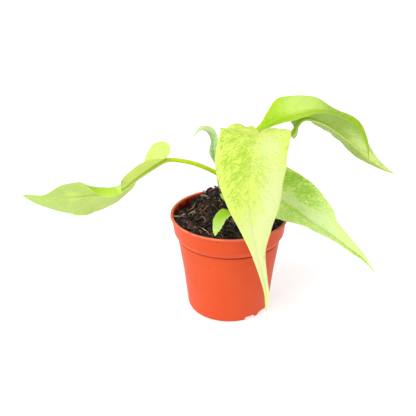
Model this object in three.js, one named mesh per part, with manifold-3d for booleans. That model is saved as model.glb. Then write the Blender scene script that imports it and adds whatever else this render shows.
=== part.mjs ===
// A young hybrid philodendron in a round terracotta-coloured nursery pot.
// Millimetres, +Z up. The origin is the centre of the pot's underside, and -Y is the side that
// the big hanging leaf covers. Left and right of a leaf are seen from above, with the tip ahead.
import * as THREE from "three";
import { mergeVertices } from "three/addons/utils/BufferGeometryUtils.js";
import Module from "manifold-3d";

const wasm = await Module();
wasm.setup();

// Pot
const POT_HEIGHT = 105;
const RIM_RADIUS = 59.8;
const LIP_HEIGHT = 2.2;
const COLLAR_TOP_RADIUS = 57.9;
const COLLAR_FOOT_RADIUS = 56.2;
const COLLAR_FOOT = 88;
const STEP_FOOT = 81.5;
const STEP_RADIUS = 53.3;
const BODY_TOP_RADIUS = 52.4;
const BODY_MID_RADIUS = 47.1;
const BODY_MID = 44;
const BODY_LOW_RADIUS = 43.6;
const BODY_LOW = 12;
const BASE_RADIUS = 41.4;
const WALL = 1.5;
const FOOT_RING_INNER_RADIUS = 38.4;
const FLOOR_UNDERSIDE = 4.6;
const FLOOR_TOP = 6.2;
const CENTRE_PAD_RADIUS = 13;
const DRAIN_HOLES = 8;
const DRAIN_HOLE_RADIUS = 3.6;
const DRAIN_RING_RADIUS = 26;
const DRAIN_HOLE_SIDES = 16;
const NOTCH_WIDTH = 12.5;
const NOTCH_HEIGHT = 4.6;
const NOTCH_DEPTH = 9;
const NOTCH_ANGLES = [33, 56, 213, 236];
const POT_SIDES = 48;
const PAD_DRAFT = 1;
const FOOT_BEVEL = 1.4;
const FOOT_BEVEL_RISE = 0.7;
const SKIRT_FLARE = 1.1;
const SKIRT_RISE = 3;
const GROOVE_DROP = 1.2;
const COLLAR_EASE = 1;
const COLLAR_SWELL = 0.2;
const LIP_UNDERCUT = 0.8;
const LIP_EDGE = 0.9;
const LIP_BEVEL = 0.7;
const MOUTH_INSET = 0.6;
const MOUTH_BEVEL = 1.4;
const INNER_COLLAR_FOOT = COLLAR_FOOT - 0.4;
const INNER_STEP_FOOT = STEP_FOOT - 1;
const FLOOR_FILLET = 2.2;

// Soil
const SOIL_LEVEL = 100.5;
const SOIL_HEAP = 9;
const SOIL_HEAP_PLACE = [-16, 43];
const SOIL_HEAP_SPREAD = 18;
const SOIL_HOLLOW = 5;
const SOIL_HOLLOW_PLACE = [-44, 26];
const SOIL_HOLLOW_SPREAD = 16;
const SOIL_BANK = 3.5;
const SOIL_BANK_PLACE = [-50, -14];
const SOIL_BANK_SPREAD = 15;
const SOIL_LUMP = 1.3;
const SOIL_EDGE_DROP = 6;
const SOIL_RINGS = 9;
const SOIL_SIDES = 36;
const SOIL_GAP = 0.35;

// Stem
const STEM_PLACE = [10, 4];
const STEM_FOOT = 78;
const STEM_TOP = 116;
const STEM_RADIUS = 9;
const STEM_TAPER = 3;
const STEM_TAPER_HEIGHT = 5;
const STEM_SHOULDER_DROP = 12;
const STEM_DOME = [[1, 6], [3, 2], [6, 0]];
const STEM_SIDES = 20;
const SEAT_GAP = 0.3;

// Leaves
const BLADE_THICKNESS = 0.8;
const PETIOLE_FOOT_RADIUS = 2.9;
const PETIOLE_TOP_RADIUS = 2.0;
const KEEL_RADIUS = 1.5;
const KEEL_END_RADIUS = 0.5;
const KEEL_SHARE = 0.86;
const LARGE_LEAF = { along: 18, across: 4, lobe: 4, sides: 6, rings: 14 };
const SMALL_LEAF = { along: 11, across: 2, lobe: 3, sides: 5, rings: 7 };
const LOBE_CENTRE = 0.5;
const RIPPLE_PHASE = 1.3;
const TANGENT_STEP = 2;
const LEAST_WIDTH = 0.5;
const LEAST_CURL = 0.001;

// Stations of a blade: place along it (-1 at the end of the lobes, 0 at the petiole, 1 at the tip),
// widths left and right of the midrib, the way its upper face looks, then in degrees how far each
// half is raised at the midrib (left, right) and how far it bends on from there to its edge.
// Dents: distance along the midrib, width to the right, spread and height.
// Lobe shares: length of the left and the right lobe against the leaf's lobe length.
const FRONT_LEAF = {
  name: "leaf_front",
  petiole: [[10, -1, 104], [10, -7, 122], [12, -8, 160], [19, -15, 189], [27, -28, 198]],
  midrib: [
    [28, -10, 200], [27, -28, 198], [22, -43, 187], [19, -54, 167], [19, -61, 147],
    [22, -65, 123], [27, -67, 96], [33, -67, 72], [37, -66, 50], [37, -64, 28],
  ],
  lobe: 18,
  ripple: { left: 1.0, right: 1.0, count: 2.5 },
  dents: [
    [-12, 31, 4.5, -4.5], [-4, 36, 5, -2.5], [-17, 13, 3.5, -2.2], [-12, 7, 4, 1.6],
    [-8, -27, 8, 2.6], [-18, -16, 8, 2], [-3, -15, 5, -1.3], [-3, 16, 6, -1.2],
  ],
  stations: [
    [-1, 30, 36, [0, -0.1, 1], -8, 12, -10, -10],
    [0, 29, 37, [0, -0.7, 0.7], 10, 8, -14, -14],
    [0.08, 30, 34.5, [0, -0.85, 0.55], 9, 8, -15, -17],
    [0.15, 31, 34.5, [0, -0.9, 0.45], 8, 8, -16, -20],
    [0.35, 28, 22.8, [0, -0.97, 0.25], 8, 8, -14, -30],
    [0.5, 17, 12.2, [0, -0.98, 0.2], 8, 8, -14, -24],
    [0.65, 6.5, 5.6, [0, -1, 0.1], 8, 8, -10, -14],
    [0.8, 3, 3.5, [0, -1, 0.1], 8, 8, 0, 0],
    [0.92, 2, 2, [0, -1, 0.1], 8, 8, 0, 0],
    [1, 0.3, 0.3, [0, -1, 0.1], 0, 0, 0, 0],
  ],
};

const UPPER_LEAF = {
  name: "leaf_upper",
  petiole: [[15, 6, 107], [19, 8, 128], [21, 11, 162], [25, 10, 182], [31, 8, 191]],
  midrib: [
    [24, 8, 183], [31, 8, 191], [48, 11, 201], [66, 14, 207], [84, 15, 210], [102, 14, 208],
    [117, 11, 201], [127, 8, 190], [134, 6, 173], [136, 3, 159],
  ],
  lobe: 10,
  ripple: { left: 1.0, right: 0.6, count: 2.5 },
  dents: [[76, -17, 14, -5]],
  stations: [
    [-1, 5, 5, [-0.2, 0, 1], 28, 10, 0, 0],
    [0, 7, 7, [-0.2, 0, 1], 28, 5, 0, 0],
    [0.1, 15, 14, [-0.2, 0, 1], 29, 5, 0, 0],
    [0.2, 25, 21, [-0.1, 0, 1], 30, 5, 0, 0],
    [0.4, 21, 22, [0.1, 0, 1], 25, 6, -10, 0],
    [0.6, 10, 16, [0.3, -0.1, 0.9], 15, 8, -20, 0],
    [0.75, 7, 8, [0.6, -0.3, 0.7], 10, 10, 0, 0],
    [0.88, 3.5, 3.5, [0.8, -0.4, 0.4], 10, 10, 0, 0],
    [1, 0.3, 0.3, [0.9, -0.4, 0.2], 0, 0, 0, 0],
  ],
};

const BACK_RIGHT_LEAF = {
  name: "leaf_back_right",
  petiole: [[11, 9, 106], [15, 18, 128], [33, 25, 158], [52, 24, 174], [62, 22, 180], [65, 23, 186]],
  midrib: [
    [60.5, 22, 178], [65, 23, 186], [68, 24, 192], [74, 25, 196], [84, 26, 195], [98, 29, 188],
    [123, 30, 169], [141, 25, 155], [155, 19, 147], [165, 15, 143],
  ],
  lobe: 9.3,
  ripple: { left: 1.0, right: 0.6, count: 2.5 },
  stations: [
    [-1, 5, 4, [0.5, 0.75, 0.4], 0, 0, 0, 0],
    [0, 5, 4, [0.5, 0.75, 0.4], 75, 40, 0, 0],
    [0.06, 7, 13.5, [0.5, 0.75, 0.4], 105, 5, 0, 0],
    [0.12, 11, 14, [0.5, 0.75, 0.4], 78, 8, 0, 0],
    [0.18, 19, 13, [0.5, 0.75, 0.4], 42, 5, 0, 0],
    [0.25, 26, 18, [0.5, 0.75, 0.4], 28, 5, 0, 0],
    [0.35, 28, 23.5, [0.5, 0.75, 0.4], 26, 8, 0, 0],
    [0.527, 27, 22.5, [0.5, 0.75, 0.4], 26, 10, 0, 0],
    [0.7, 16, 13, [0.5, 0.75, 0.4], 15, 5, 0, 0],
    [0.87, 6, 4.5, [0.5, 0.75, 0.4], 10, 10, 0, 0],
    [1, 0.3, 0.3, [0.5, 0.75, 0.4], 0, 0, 0, 0],
  ],
};

const RIGHT_LEAF = {
  name: "leaf_right",
  petiole: [[14, 1, 105], [20, -2, 115], [27, -6, 127], [33, -8, 132], [40, -10, 134]],
  midrib: [
    [26, -6, 140], [40, -10, 134], [62, -20, 123], [87, -30, 107], [102, -35, 98],
    [119, -40, 86], [131, -42, 77], [143, -45, 63],
  ],
  lobe: 16,
  ripple: { left: 1.0, right: 0.6, count: 2.5 },
  stations: [
    [-1, 28, 22, [-0.2, -0.4, 0.9], 10, 30, 0, 0],
    [0, 30, 30, [-0.2, -0.5, 0.85], 10, 20, 0, 0],
    [0.1, 30, 30, [-0.15, -0.55, 0.8], 10, 20, 0, 0],
    [0.2, 30, 25, [-0.1, -0.6, 0.8], 10, 25, 0, 0],
    [0.4, 24, 19, [-0.1, -0.6, 0.8], 10, 42, 0, 0],
    [0.47, 20.5, 15.5, [-0.1, -0.6, 0.8], 10, 42, 0, 0],
    [0.54, 13.5, 11, [-0.1, -0.6, 0.8], 10, 40, 0, 0],
    [0.62, 10.5, 8, [-0.1, -0.6, 0.8], 10, 40, 0, 0],
    [0.76, 6.5, 5, [-0.1, -0.6, 0.8], 10, 30, 0, 0],
    [0.9, 1.8, 1.6, [-0.1, -0.6, 0.8], 10, 10, 0, 0],
    [1, 0.3, 0.3, [-0.1, -0.6, 0.8], 0, 0, 0, 0],
  ],
};

const LEFT_LEAF = {
  name: "leaf_left",
  petiole: [[5, 4, 106], [1, 5, 122], [-6, 3, 141], [-16, 0, 150], [-37, -5, 161], [-62, -10, 167]],
  midrib: [
    [-54, -8, 173], [-62, -10, 167], [-88, -20, 151.5], [-110, -28, 136.8], [-130, -34, 138],
    [-152, -38, 138], [-175, -40, 136], [-197, -40, 141],
  ],
  lobe: 10,
  lobeShares: [0.25, 1.0],
  ripple: { left: 1.0, right: 0.6, count: 2.5 },
  stations: [
    [-1, 4, 19, [-0.1, 0.65, 0.7], -20, 80, 0, 0],
    [0, 11, 22.5, [-0.1, 0.65, 0.7], -20, 80, 0, 0],
    [0.05, 16, 23, [-0.1, 0.65, 0.7], -8, 70, 0, 0],
    [0.1, 18, 23, [-0.1, 0.65, 0.7], 2, 55, 0, 0],
    [0.2, 20, 22, [-0.1, 0.65, 0.7], 5, 30, 0, 0],
    [0.3, 19, 19, [-0.1, 0.67, 0.68], 6, 14, -20, 0],
    [0.36, 27, 17, [-0.1, 0.7, 0.65], 34, 8, -135, 0],
    [0.42, 30, 22, [-0.1, 0.72, 0.63], 43, 0, -140, 0],
    [0.5, 29, 30, [-0.1, 0.76, 0.6], 45, -5, -150, 0],
    [0.62, 27, 31, [-0.1, 0.8, 0.55], 22, -5, -45, 0],
    [0.75, 16, 30.5, [-0.1, 0.8, 0.55], 10, 0, 0, 0],
    [0.87, 6, 16, [-0.1, 0.8, 0.55], 10, 5, 0, 0],
    [0.95, 3, 7, [-0.1, 0.8, 0.55], 10, 5, 0, 0],
    [1, 0.3, 0.3, [-0.1, 0.8, 0.55], 0, 0, 0, 0],
  ],
};

const SMALL_BACK_LEAF = {
  name: "leaf_small_back",
  petiole: [[7, 8, 104], [2, 15, 112], [-8, 24, 125]],
  midrib: [
    [-7, 23, 121], [-8, 24, 125], [-11, 25, 140], [-15, 25, 160], [-16, 25, 173],
    [-21, 24, 183], [-28, 23, 186], [-34, 21, 182], [-37, 20, 177],
  ],
  lobe: 4,
  ripple: { left: 0, right: 0, count: 1 },
  stations: [
    [-1, 2.5, 2.5, [-0.3, -0.8, 0.2], 35, 35, 0, 0],
    [0, 4, 4.5, [-0.3, -0.8, 0.2], 35, 35, 0, 0],
    [0.3, 2.8, 8, [-0.3, -0.8, 0.3], 30, 30, 0, 0],
    [0.45, 5.6, 7.5, [-0.3, -0.7, 0.45], 30, 30, 0, 0],
    [0.58, 3.6, 7, [-0.3, -0.6, 0.6], 30, 30, 0, 0],
    [0.68, 2.6, 6, [-0.3, -0.5, 0.7], 25, 25, 0, 0],
    [0.8, 4, 4, [-0.3, -0.4, 0.8], 20, 20, 0, 0],
    [1, 0.3, 0.3, [-0.8, 0, 0.3], 0, 0, 0, 0],
  ],
};

const SMALL_FRONT_LEAF = {
  name: "leaf_small_front",
  petiole: [[6, 0, 104], [4, -9, 109], [6, -20, 114], [5, -29, 117]],
  midrib: [
    [7, -26, 116], [5, -29, 117], [0, -35, 120.3], [-5, -41, 118.5], [-8.5, -46, 114],
    [-12, -50, 109.5], [-13.2, -52.6, 105.5],
  ],
  lobe: 5,
  ripple: { left: 0, right: 0, count: 1 },
  stations: [
    [-1, 3, 4, [0, -0.2, 1], 5, 5, 0, 0],
    [0, 4, 7, [0, -0.2, 1], 10, 10, 0, 0],
    [0.3, 5, 9, [-0.2, -0.3, 1], 18, 20, 0, 0],
    [0.6, 5, 8.5, [-0.5, -0.6, 0.5], 25, 24, 0, 0],
    [0.85, 3.8, 4, [-0.6, -0.8, 0.2], 20, 20, 0, 0],
    [1, 0.3, 0.3, [-0.6, -0.8, 0.1], 0, 0, 0, 0],
  ],
};

const BRACT = {
  name: "bract",
  petiole: [[8, 3, 112], [6, 0, 117], [4, -2, 119]],
  midrib: [[6, 0, 117], [4, -2, 119], [0, -4, 121.5], [-5, -5.5, 123.5], [-9.3, -6.5, 129]],
  lobe: 2,
  ripple: { left: 0, right: 0, count: 1 },
  stations: [
    [-1, 2.5, 2.5, [-0.3, -0.5, 0.8], 20, 20, 0, 0],
    [0, 3, 3, [-0.3, -0.5, 0.8], 30, 30, 20, 20],
    [0.4, 4.2, 4.2, [-0.3, -0.5, 0.8], 30, 30, 20, 20],
    [0.75, 2.5, 2.5, [-0.3, -0.5, 0.8], 30, 30, 0, 0],
    [1, 0.3, 0.3, [-0.3, -0.5, 0.8], 0, 0, 0, 0],
  ],
};

const MERGE_DISTANCE = 1e-4;
const CUT_OVERRUN = 1;

const radians = THREE.MathUtils.degToRad;
const vectors = (rows) => rows.map((row) => new THREE.Vector3(...row));

// Geometry from flat lists of corner coordinates and triangles.
function geometryOf(corners, triangles) {
  const geometry = new THREE.BufferGeometry();
  geometry.setAttribute("position", new THREE.Float32BufferAttribute(corners, 3));
  geometry.setIndex(triangles);
  return geometry;
}

// A closed geometry as a solid that can be joined and cut.
function solidOf(geometry) {
  const bare = new THREE.BufferGeometry();
  bare.setAttribute("position", geometry.getAttribute("position"));
  if (geometry.index) bare.setIndex(geometry.index);
  const merged = mergeVertices(bare, MERGE_DISTANCE);
  const mesh = new wasm.Mesh({
    numProp: 3,
    vertProperties: merged.attributes.position.array,
    triVerts: new Uint32Array(merged.index.array),
  });
  return new wasm.Manifold(mesh);
}

function geometryOfSolid(solid) {
  const mesh = solid.getMesh();
  return geometryOf(Array.from(mesh.vertProperties), Array.from(mesh.triVerts));
}

function meshOf(name, geometry, material) {
  const mesh = new THREE.Mesh(geometry, material);
  mesh.name = name;
  mesh.geometry.computeVertexNormals();
  return mesh;
}

function latheOf(profile, sides) {
  const lathe = new THREE.LatheGeometry(profile.map(([r, z]) => new THREE.Vector2(r, z)), sides);
  lathe.rotateX(Math.PI / 2);
  return lathe;
}

function cylinderAt(radius, low, high, x, y, sides) {
  const cylinder = new THREE.CylinderGeometry(radius, radius, high - low, sides);
  cylinder.rotateX(Math.PI / 2);
  cylinder.translate(x, y, (low + high) / 2);
  return cylinder;
}

// Inside of the pot from the floor up, which the soil follows.
function insideProfile() {
  return [
    [BODY_LOW_RADIUS - WALL - FLOOR_FILLET, FLOOR_TOP],
    [BODY_LOW_RADIUS - WALL, BODY_LOW],
    [BODY_MID_RADIUS - WALL, BODY_MID],
    [BODY_TOP_RADIUS - WALL, INNER_STEP_FOOT],
    [COLLAR_FOOT_RADIUS - WALL, INNER_COLLAR_FOOT],
    [COLLAR_TOP_RADIUS - WALL, POT_HEIGHT - MOUTH_BEVEL],
  ];
}

// Pot: a lip, a collar that steps in to a tapered body, a foot ring and a raised, drained floor.
function potProfile() {
  return [
    [0, 0],
    [CENTRE_PAD_RADIUS, 0],
    [CENTRE_PAD_RADIUS + PAD_DRAFT, FLOOR_UNDERSIDE],
    [FOOT_RING_INNER_RADIUS, FLOOR_UNDERSIDE],
    [FOOT_RING_INNER_RADIUS, 0],
    [BASE_RADIUS - FOOT_BEVEL, 0],
    [BASE_RADIUS, FOOT_BEVEL_RISE],
    [BASE_RADIUS + SKIRT_FLARE, SKIRT_RISE],
    [BODY_LOW_RADIUS, BODY_LOW],
    [BODY_MID_RADIUS, BODY_MID],
    [BODY_TOP_RADIUS, STEP_FOOT - GROOVE_DROP],
    [STEP_RADIUS, STEP_FOOT],
    [COLLAR_FOOT_RADIUS, COLLAR_FOOT - COLLAR_EASE],
    [COLLAR_FOOT_RADIUS + COLLAR_SWELL, COLLAR_FOOT + COLLAR_EASE],
    [COLLAR_TOP_RADIUS, POT_HEIGHT - LIP_HEIGHT - LIP_UNDERCUT],
    [RIM_RADIUS - COLLAR_SWELL, POT_HEIGHT - LIP_HEIGHT],
    [RIM_RADIUS, POT_HEIGHT - LIP_EDGE],
    [RIM_RADIUS - LIP_BEVEL, POT_HEIGHT],
    [COLLAR_TOP_RADIUS - MOUTH_INSET, POT_HEIGHT],
    ...insideProfile().reverse(),
    [0, FLOOR_TOP],
  ];
}

function notchAt(angle) {
  const notch = new THREE.BoxGeometry(NOTCH_WIDTH, NOTCH_DEPTH, 2 * NOTCH_HEIGHT);
  notch.translate(0, -BASE_RADIUS, 0);
  notch.rotateZ(radians(angle));
  return notch;
}

function pot() {
  let solid = solidOf(latheOf(potProfile(), POT_SIDES));
  for (let k = 0; k < DRAIN_HOLES; k += 1) {
    const angle = (2 * Math.PI * (k + 0.5)) / DRAIN_HOLES;
    const x = DRAIN_RING_RADIUS * Math.cos(angle);
    const y = DRAIN_RING_RADIUS * Math.sin(angle);
    const low = FLOOR_UNDERSIDE - CUT_OVERRUN;
    const high = FLOOR_TOP + CUT_OVERRUN;
    const hole = cylinderAt(DRAIN_HOLE_RADIUS, low, high, x, y, DRAIN_HOLE_SIDES);
    solid = solid.subtract(solidOf(hole));
  }
  for (const angle of NOTCH_ANGLES) {
    solid = solid.subtract(solidOf(notchAt(angle)));
  }
  const plastic = new THREE.MeshStandardMaterial({ color: 0xe8592f, roughness: 0.45, metalness: 0 });
  return meshOf("pot", geometryOfSolid(solid), plastic);
}

// Height of a soft bump, 1 at its place and 0 well beyond its spread.
function bump(x, y, place, spread) {
  const distance = Math.hypot(x - place[0], y - place[1]);
  return Math.exp(-((distance / spread) ** 2));
}

// Soil: a lumpy top, heaped at the back and sunk beside it, in the shape of the pot's inside.
function soilHeight(x, y) {
  const heap = SOIL_HEAP * bump(x, y, SOIL_HEAP_PLACE, SOIL_HEAP_SPREAD);
  const hollow = SOIL_HOLLOW * bump(x, y, SOIL_HOLLOW_PLACE, SOIL_HOLLOW_SPREAD);
  const bank = SOIL_BANK * bump(x, y, SOIL_BANK_PLACE, SOIL_BANK_SPREAD);
  const broad = Math.sin(x / 6.1 + 1.2) * Math.cos(y / 5.3);
  const fine = Math.sin(x / 2.7 - y / 4.1) * Math.sin(y / 3.1 + 0.6);
  return SOIL_LEVEL + heap + bank - hollow + SOIL_LUMP * (broad + 0.6 * fine);
}

// Inner radius of the pot at a height.
function insideRadius(height) {
  const rows = insideProfile();
  const above = Math.max(1, rows.findIndex(([, level]) => level >= height));
  const [lowRadius, lowLevel] = rows[above - 1];
  const [highRadius, highLevel] = rows[above];
  const share = (height - lowLevel) / (highLevel - lowLevel);
  return lowRadius + share * (highRadius - lowRadius);
}

function soil(stem) {
  const corners = [];
  const triangles = [];
  const sideLevels = [INNER_COLLAR_FOOT, INNER_STEP_FOOT, BODY_MID, BODY_LOW, FLOOR_TOP + SOIL_GAP];
  // The flat sides of the pot's inside lie a little further in than its corners.
  const clear = Math.cos(Math.PI / POT_SIDES);
  const ring = (radius, heightAt) => {
    for (let k = 0; k < SOIL_SIDES; k += 1) {
      const angle = (2 * Math.PI * k) / SOIL_SIDES;
      const x = radius * Math.cos(angle);
      const y = radius * Math.sin(angle);
      corners.push(x, y, heightAt(x, y));
    }
  };
  const reach = insideRadius(SOIL_LEVEL - SOIL_EDGE_DROP) * clear - SOIL_GAP;
  corners.push(0, 0, soilHeight(0, 0));
  for (let k = 1; k <= SOIL_RINGS; k += 1) {
    ring((reach * k) / SOIL_RINGS, soilHeight);
  }
  for (const level of sideLevels) {
    ring(insideRadius(level) * clear - SOIL_GAP, () => level);
  }
  const last = corners.length / 3;
  corners.push(0, 0, FLOOR_TOP + SOIL_GAP);
  const rings = SOIL_RINGS + sideLevels.length;
  for (let k = 0; k < SOIL_SIDES; k += 1) {
    const next = (k + 1) % SOIL_SIDES;
    triangles.push(0, 1 + k, 1 + next);
    for (let row = 0; row < rings - 1; row += 1) {
      const inner = 1 + row * SOIL_SIDES;
      const outer = inner + SOIL_SIDES;
      triangles.push(inner + k, outer + k, outer + next);
      triangles.push(inner + k, outer + next, inner + next);
    }
    const base = 1 + (rings - 1) * SOIL_SIDES;
    triangles.push(last, base + next, base + k);
  }
  const solid = solidOf(geometryOf(corners, triangles)).subtract(stem);
  const peat = new THREE.MeshStandardMaterial({ color: 0x2a1d14, roughness: 0.95, metalness: 0 });
  return meshOf("soil", geometryOfSolid(solid), peat);
}

// Stem: a short upright knob that the leaf stalks grow from, in a plain hole in the soil.
function stemSolid(grow) {
  const radius = STEM_RADIUS + grow;
  const profile = [
    [0, STEM_FOOT - grow],
    [radius - STEM_TAPER, STEM_FOOT - grow],
    [radius, STEM_FOOT + STEM_TAPER_HEIGHT],
    [radius, STEM_TOP - STEM_SHOULDER_DROP],
    ...STEM_DOME.map(([inset, drop]) => [radius - inset, STEM_TOP - drop + grow]),
    [0, STEM_TOP + grow],
  ];
  const lathe = latheOf(profile, STEM_SIDES);
  lathe.translate(...STEM_PLACE, 0);
  return solidOf(lathe);
}

function stem() {
  const green = new THREE.MeshStandardMaterial({ color: 0x8fae4a, roughness: 0.6, metalness: 0 });
  return meshOf("stem", geometryOfSolid(stemSolid(0)), green);
}

// Curves
function curveThrough(rows) {
  const curve = new THREE.CatmullRomCurve3(vectors(rows), false, "catmullrom", 0.5);
  curve.arcLengthDivisions = 400;
  return curve;
}

function sampled(curve, count) {
  return Array.from({ length: count }, (_, k) => curve.getPointAt(k / (count - 1)));
}

function spaced(values) {
  return values.map((value, k) => [k / (values.length - 1), value]);
}

// Value of a column at a place, on a smooth curve through the rows that never overshoots.
function eased(rows, column, place) {
  const at = Math.min(Math.max(place, rows[0][0]), rows[rows.length - 1][0]);
  const next = Math.max(1, rows.findIndex((row) => row[0] >= at));
  const slope = (k) => (rows[k + 1][column] - rows[k][column]) / (rows[k + 1][0] - rows[k][0]);
  const tangent = (k) => {
    if (k === 0) return slope(0);
    if (k === rows.length - 1) return slope(k - 1);
    const before = slope(k - 1);
    const after = slope(k);
    return before * after > 0 ? (2 * before * after) / (before + after) : 0;
  };
  const span = rows[next][0] - rows[next - 1][0];
  const u = (at - rows[next - 1][0]) / span;
  const start = rows[next - 1][column] * (1 + 2 * u) + span * tangent(next - 1) * u;
  const end = rows[next][column] * (3 - 2 * u) - span * tangent(next) * (1 - u);
  return start * (1 - u) ** 2 + end * u ** 2;
}

// A closed tube along points, with a radius for each share of its length.
function tubeAlong(points, radiusAt, sides) {
  const corners = [];
  const triangles = [];
  const last = points.length - 1;
  let side = null;
  points.forEach((point, k) => {
    const ahead = points[Math.min(k + 1, last)].clone();
    const along = ahead.sub(points[Math.max(k - 1, 0)]).normalize();
    if (!side) side = new THREE.Vector3(0.3, 1, 0.1).cross(along);
    side.addScaledVector(along, -side.dot(along)).normalize();
    const across = along.clone().cross(side);
    const radius = radiusAt(k / last);
    for (let j = 0; j < sides; j += 1) {
      const angle = (2 * Math.PI * j) / sides;
      const corner = point.clone();
      corner.addScaledVector(side, radius * Math.cos(angle));
      corner.addScaledVector(across, radius * Math.sin(angle));
      corners.push(...corner.toArray());
    }
  });
  corners.push(...points[0].toArray(), ...points[last].toArray());
  const startCap = points.length * sides;
  for (let j = 0; j < sides; j += 1) {
    const next = (j + 1) % sides;
    for (let k = 0; k < last; k += 1) {
      const low = k * sides;
      const high = low + sides;
      triangles.push(low + j, low + next, high + next);
      triangles.push(low + j, high + next, high + j);
    }
    triangles.push(startCap, next, j);
    triangles.push(startCap + 1, last * sides + j, last * sides + next);
  }
  return geometryOf(corners, triangles);
}

// Frame of a blade at a distance from its petiole: place, way to the tip, upper side, right side.
function bladeFrame(leaf, distance) {
  const whole = leaf.curve.getLength();
  const share = (length) => Math.min(Math.max((leaf.lobe + length) / whole, 0), 1);
  const point = leaf.curve.getPointAt(share(distance));
  const along = leaf.curve.getPointAt(share(distance + TANGENT_STEP));
  along.sub(leaf.curve.getPointAt(share(distance - TANGENT_STEP))).normalize();
  const place = distance < 0 ? distance / leaf.lobe : distance / leaf.length;
  const face = new THREE.Vector3(...[0, 1, 2].map((k) => eased(leaf.facing, k + 1, place)));
  face.addScaledVector(along, -face.dot(along)).normalize();
  const right = along.clone().cross(face);
  return { point, along, face, right, place };
}

// Point of the blade's middle surface, a distance along the midrib and a width to one side.
function bladePoint(leaf, distance, width) {
  const frame = bladeFrame(leaf, distance);
  const onRight = width > 0;
  const side = onRight ? 1 : -1;
  const reach = Math.abs(width);
  const column = onRight ? 2 : 1;
  const whole = Math.max(eased(leaf.stations, column, Math.max(frame.place, 0)), LEAST_WIDTH);
  const fold = radians(eased(leaf.stations, onRight ? 5 : 4, frame.place));
  let curl = radians(eased(leaf.stations, onRight ? 7 : 6, frame.place));
  if (Math.abs(curl) < LEAST_CURL) curl = LEAST_CURL;
  const turned = fold + (curl * reach) / whole;
  const across = ((Math.sin(turned) - Math.sin(fold)) * whole) / curl;
  const raised = ((Math.cos(fold) - Math.cos(turned)) * whole) / curl;
  const { left, right, count } = leaf.ripple;
  const size = (onRight ? right : left) * (whole / leaf.widest[column]) * (reach / whole) ** 2;
  const phase = onRight ? RIPPLE_PHASE : 0;
  let wave = size * Math.sin(2 * Math.PI * count * frame.place + phase);
  for (const [at, off, spread, height] of leaf.dents) {
    wave += height * bump(distance, width, [at, off], spread);
  }
  const point = frame.point.clone();
  point.addScaledVector(frame.right, side * (across - wave * Math.sin(turned)));
  point.addScaledVector(frame.face, raised + wave * Math.cos(turned));
  return point;
}

// Flat plan of a blade: places as [distance, width] and triangles that face up.
function bladePlan(leaf, steps) {
  const plan = [];
  const triangles = [];
  const add = (distance, width) => plan.push([distance, width]) - 1;
  const rib = Array.from({ length: steps.along }, (_, k) => add((k * leaf.length) / steps.along, 0));
  const tip = add(leaf.length, 0);
  const face = (a, b, c, side) => triangles.push(...(side > 0 ? [a, c, b] : [a, b, c]));
  for (const side of [-1, 1]) {
    const column = side > 0 ? 2 : 1;
    const rowAt = (distance, inner, outer, first) =>
      Array.from({ length: steps.across + 1 }, (_, j) => {
        if (j === 0 && first !== undefined) return first;
        return add(distance, side * (inner + ((outer - inner) * j) / steps.across));
      });
    const fill = (row, next) => {
      for (let j = 0; j < steps.across; j += 1) {
        face(row[j], row[j + 1], next[j + 1], side);
        face(row[j], next[j + 1], next[j], side);
      }
    };
    const rows = rib.map((corner, k) => {
      const width = eased(leaf.stations, column, k / steps.along);
      return rowAt((k * leaf.length) / steps.along, 0, width, corner);
    });
    for (let k = 0; k < rows.length - 1; k += 1) fill(rows[k], rows[k + 1]);
    const near = rows[rows.length - 1];
    for (let j = 0; j < steps.across; j += 1) face(near[j], near[j + 1], tip, side);
    const width = eased(leaf.stations, column, 0);
    const centre = LOBE_CENTRE * width;
    const lobe = leaf.lobe * leaf.lobeShares[side < 0 ? 0 : 1];
    let row = rows[0];
    for (let k = 1; k < steps.lobe; k += 1) {
      const angle = (Math.PI * k) / (2 * steps.lobe);
      const inner = centre * (1 - Math.cos(angle));
      const outer = centre + (width - centre) * Math.cos(angle);
      const next = rowAt(-lobe * Math.sin(angle), inner, outer);
      fill(next, row);
      row = next;
    }
    const end = add(-lobe, side * centre);
    for (let j = 0; j < steps.across; j += 1) face(end, row[j + 1], row[j], side);
  }
  return { plan, triangles };
}

// A blade with its thickness: the middle surface moved up and down, and closed round its edge.
function bladeSolid(leaf, steps) {
  const { plan, triangles } = bladePlan(leaf, steps);
  const middle = plan.map(([distance, width]) => bladePoint(leaf, distance, width));
  const sheet = geometryOf(middle.flatMap((point) => point.toArray()), triangles);
  sheet.computeVertexNormals();
  const normals = sheet.getAttribute("normal");
  const corners = [];
  for (const side of [1, -1]) {
    middle.forEach((point, k) => {
      const normal = new THREE.Vector3().fromBufferAttribute(normals, k);
      const corner = point.clone().addScaledVector(normal, (side * BLADE_THICKNESS) / 2);
      corners.push(...corner.toArray());
    });
  }
  const below = middle.length;
  const closed = [...triangles];
  const edges = new Set();
  for (let k = 0; k < triangles.length; k += 3) {
    const [a, b, c] = triangles.slice(k, k + 3);
    closed.push(a + below, c + below, b + below);
    for (const edge of [[a, b], [b, c], [c, a]]) edges.add(edge.join(" "));
  }
  for (const edge of edges) {
    const [a, b] = edge.split(" ").map(Number);
    if (edges.has(b + " " + a)) continue;
    closed.push(a, a + below, b + below);
    closed.push(a, b + below, b);
  }
  return solidOf(geometryOf(corners, closed));
}

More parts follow.
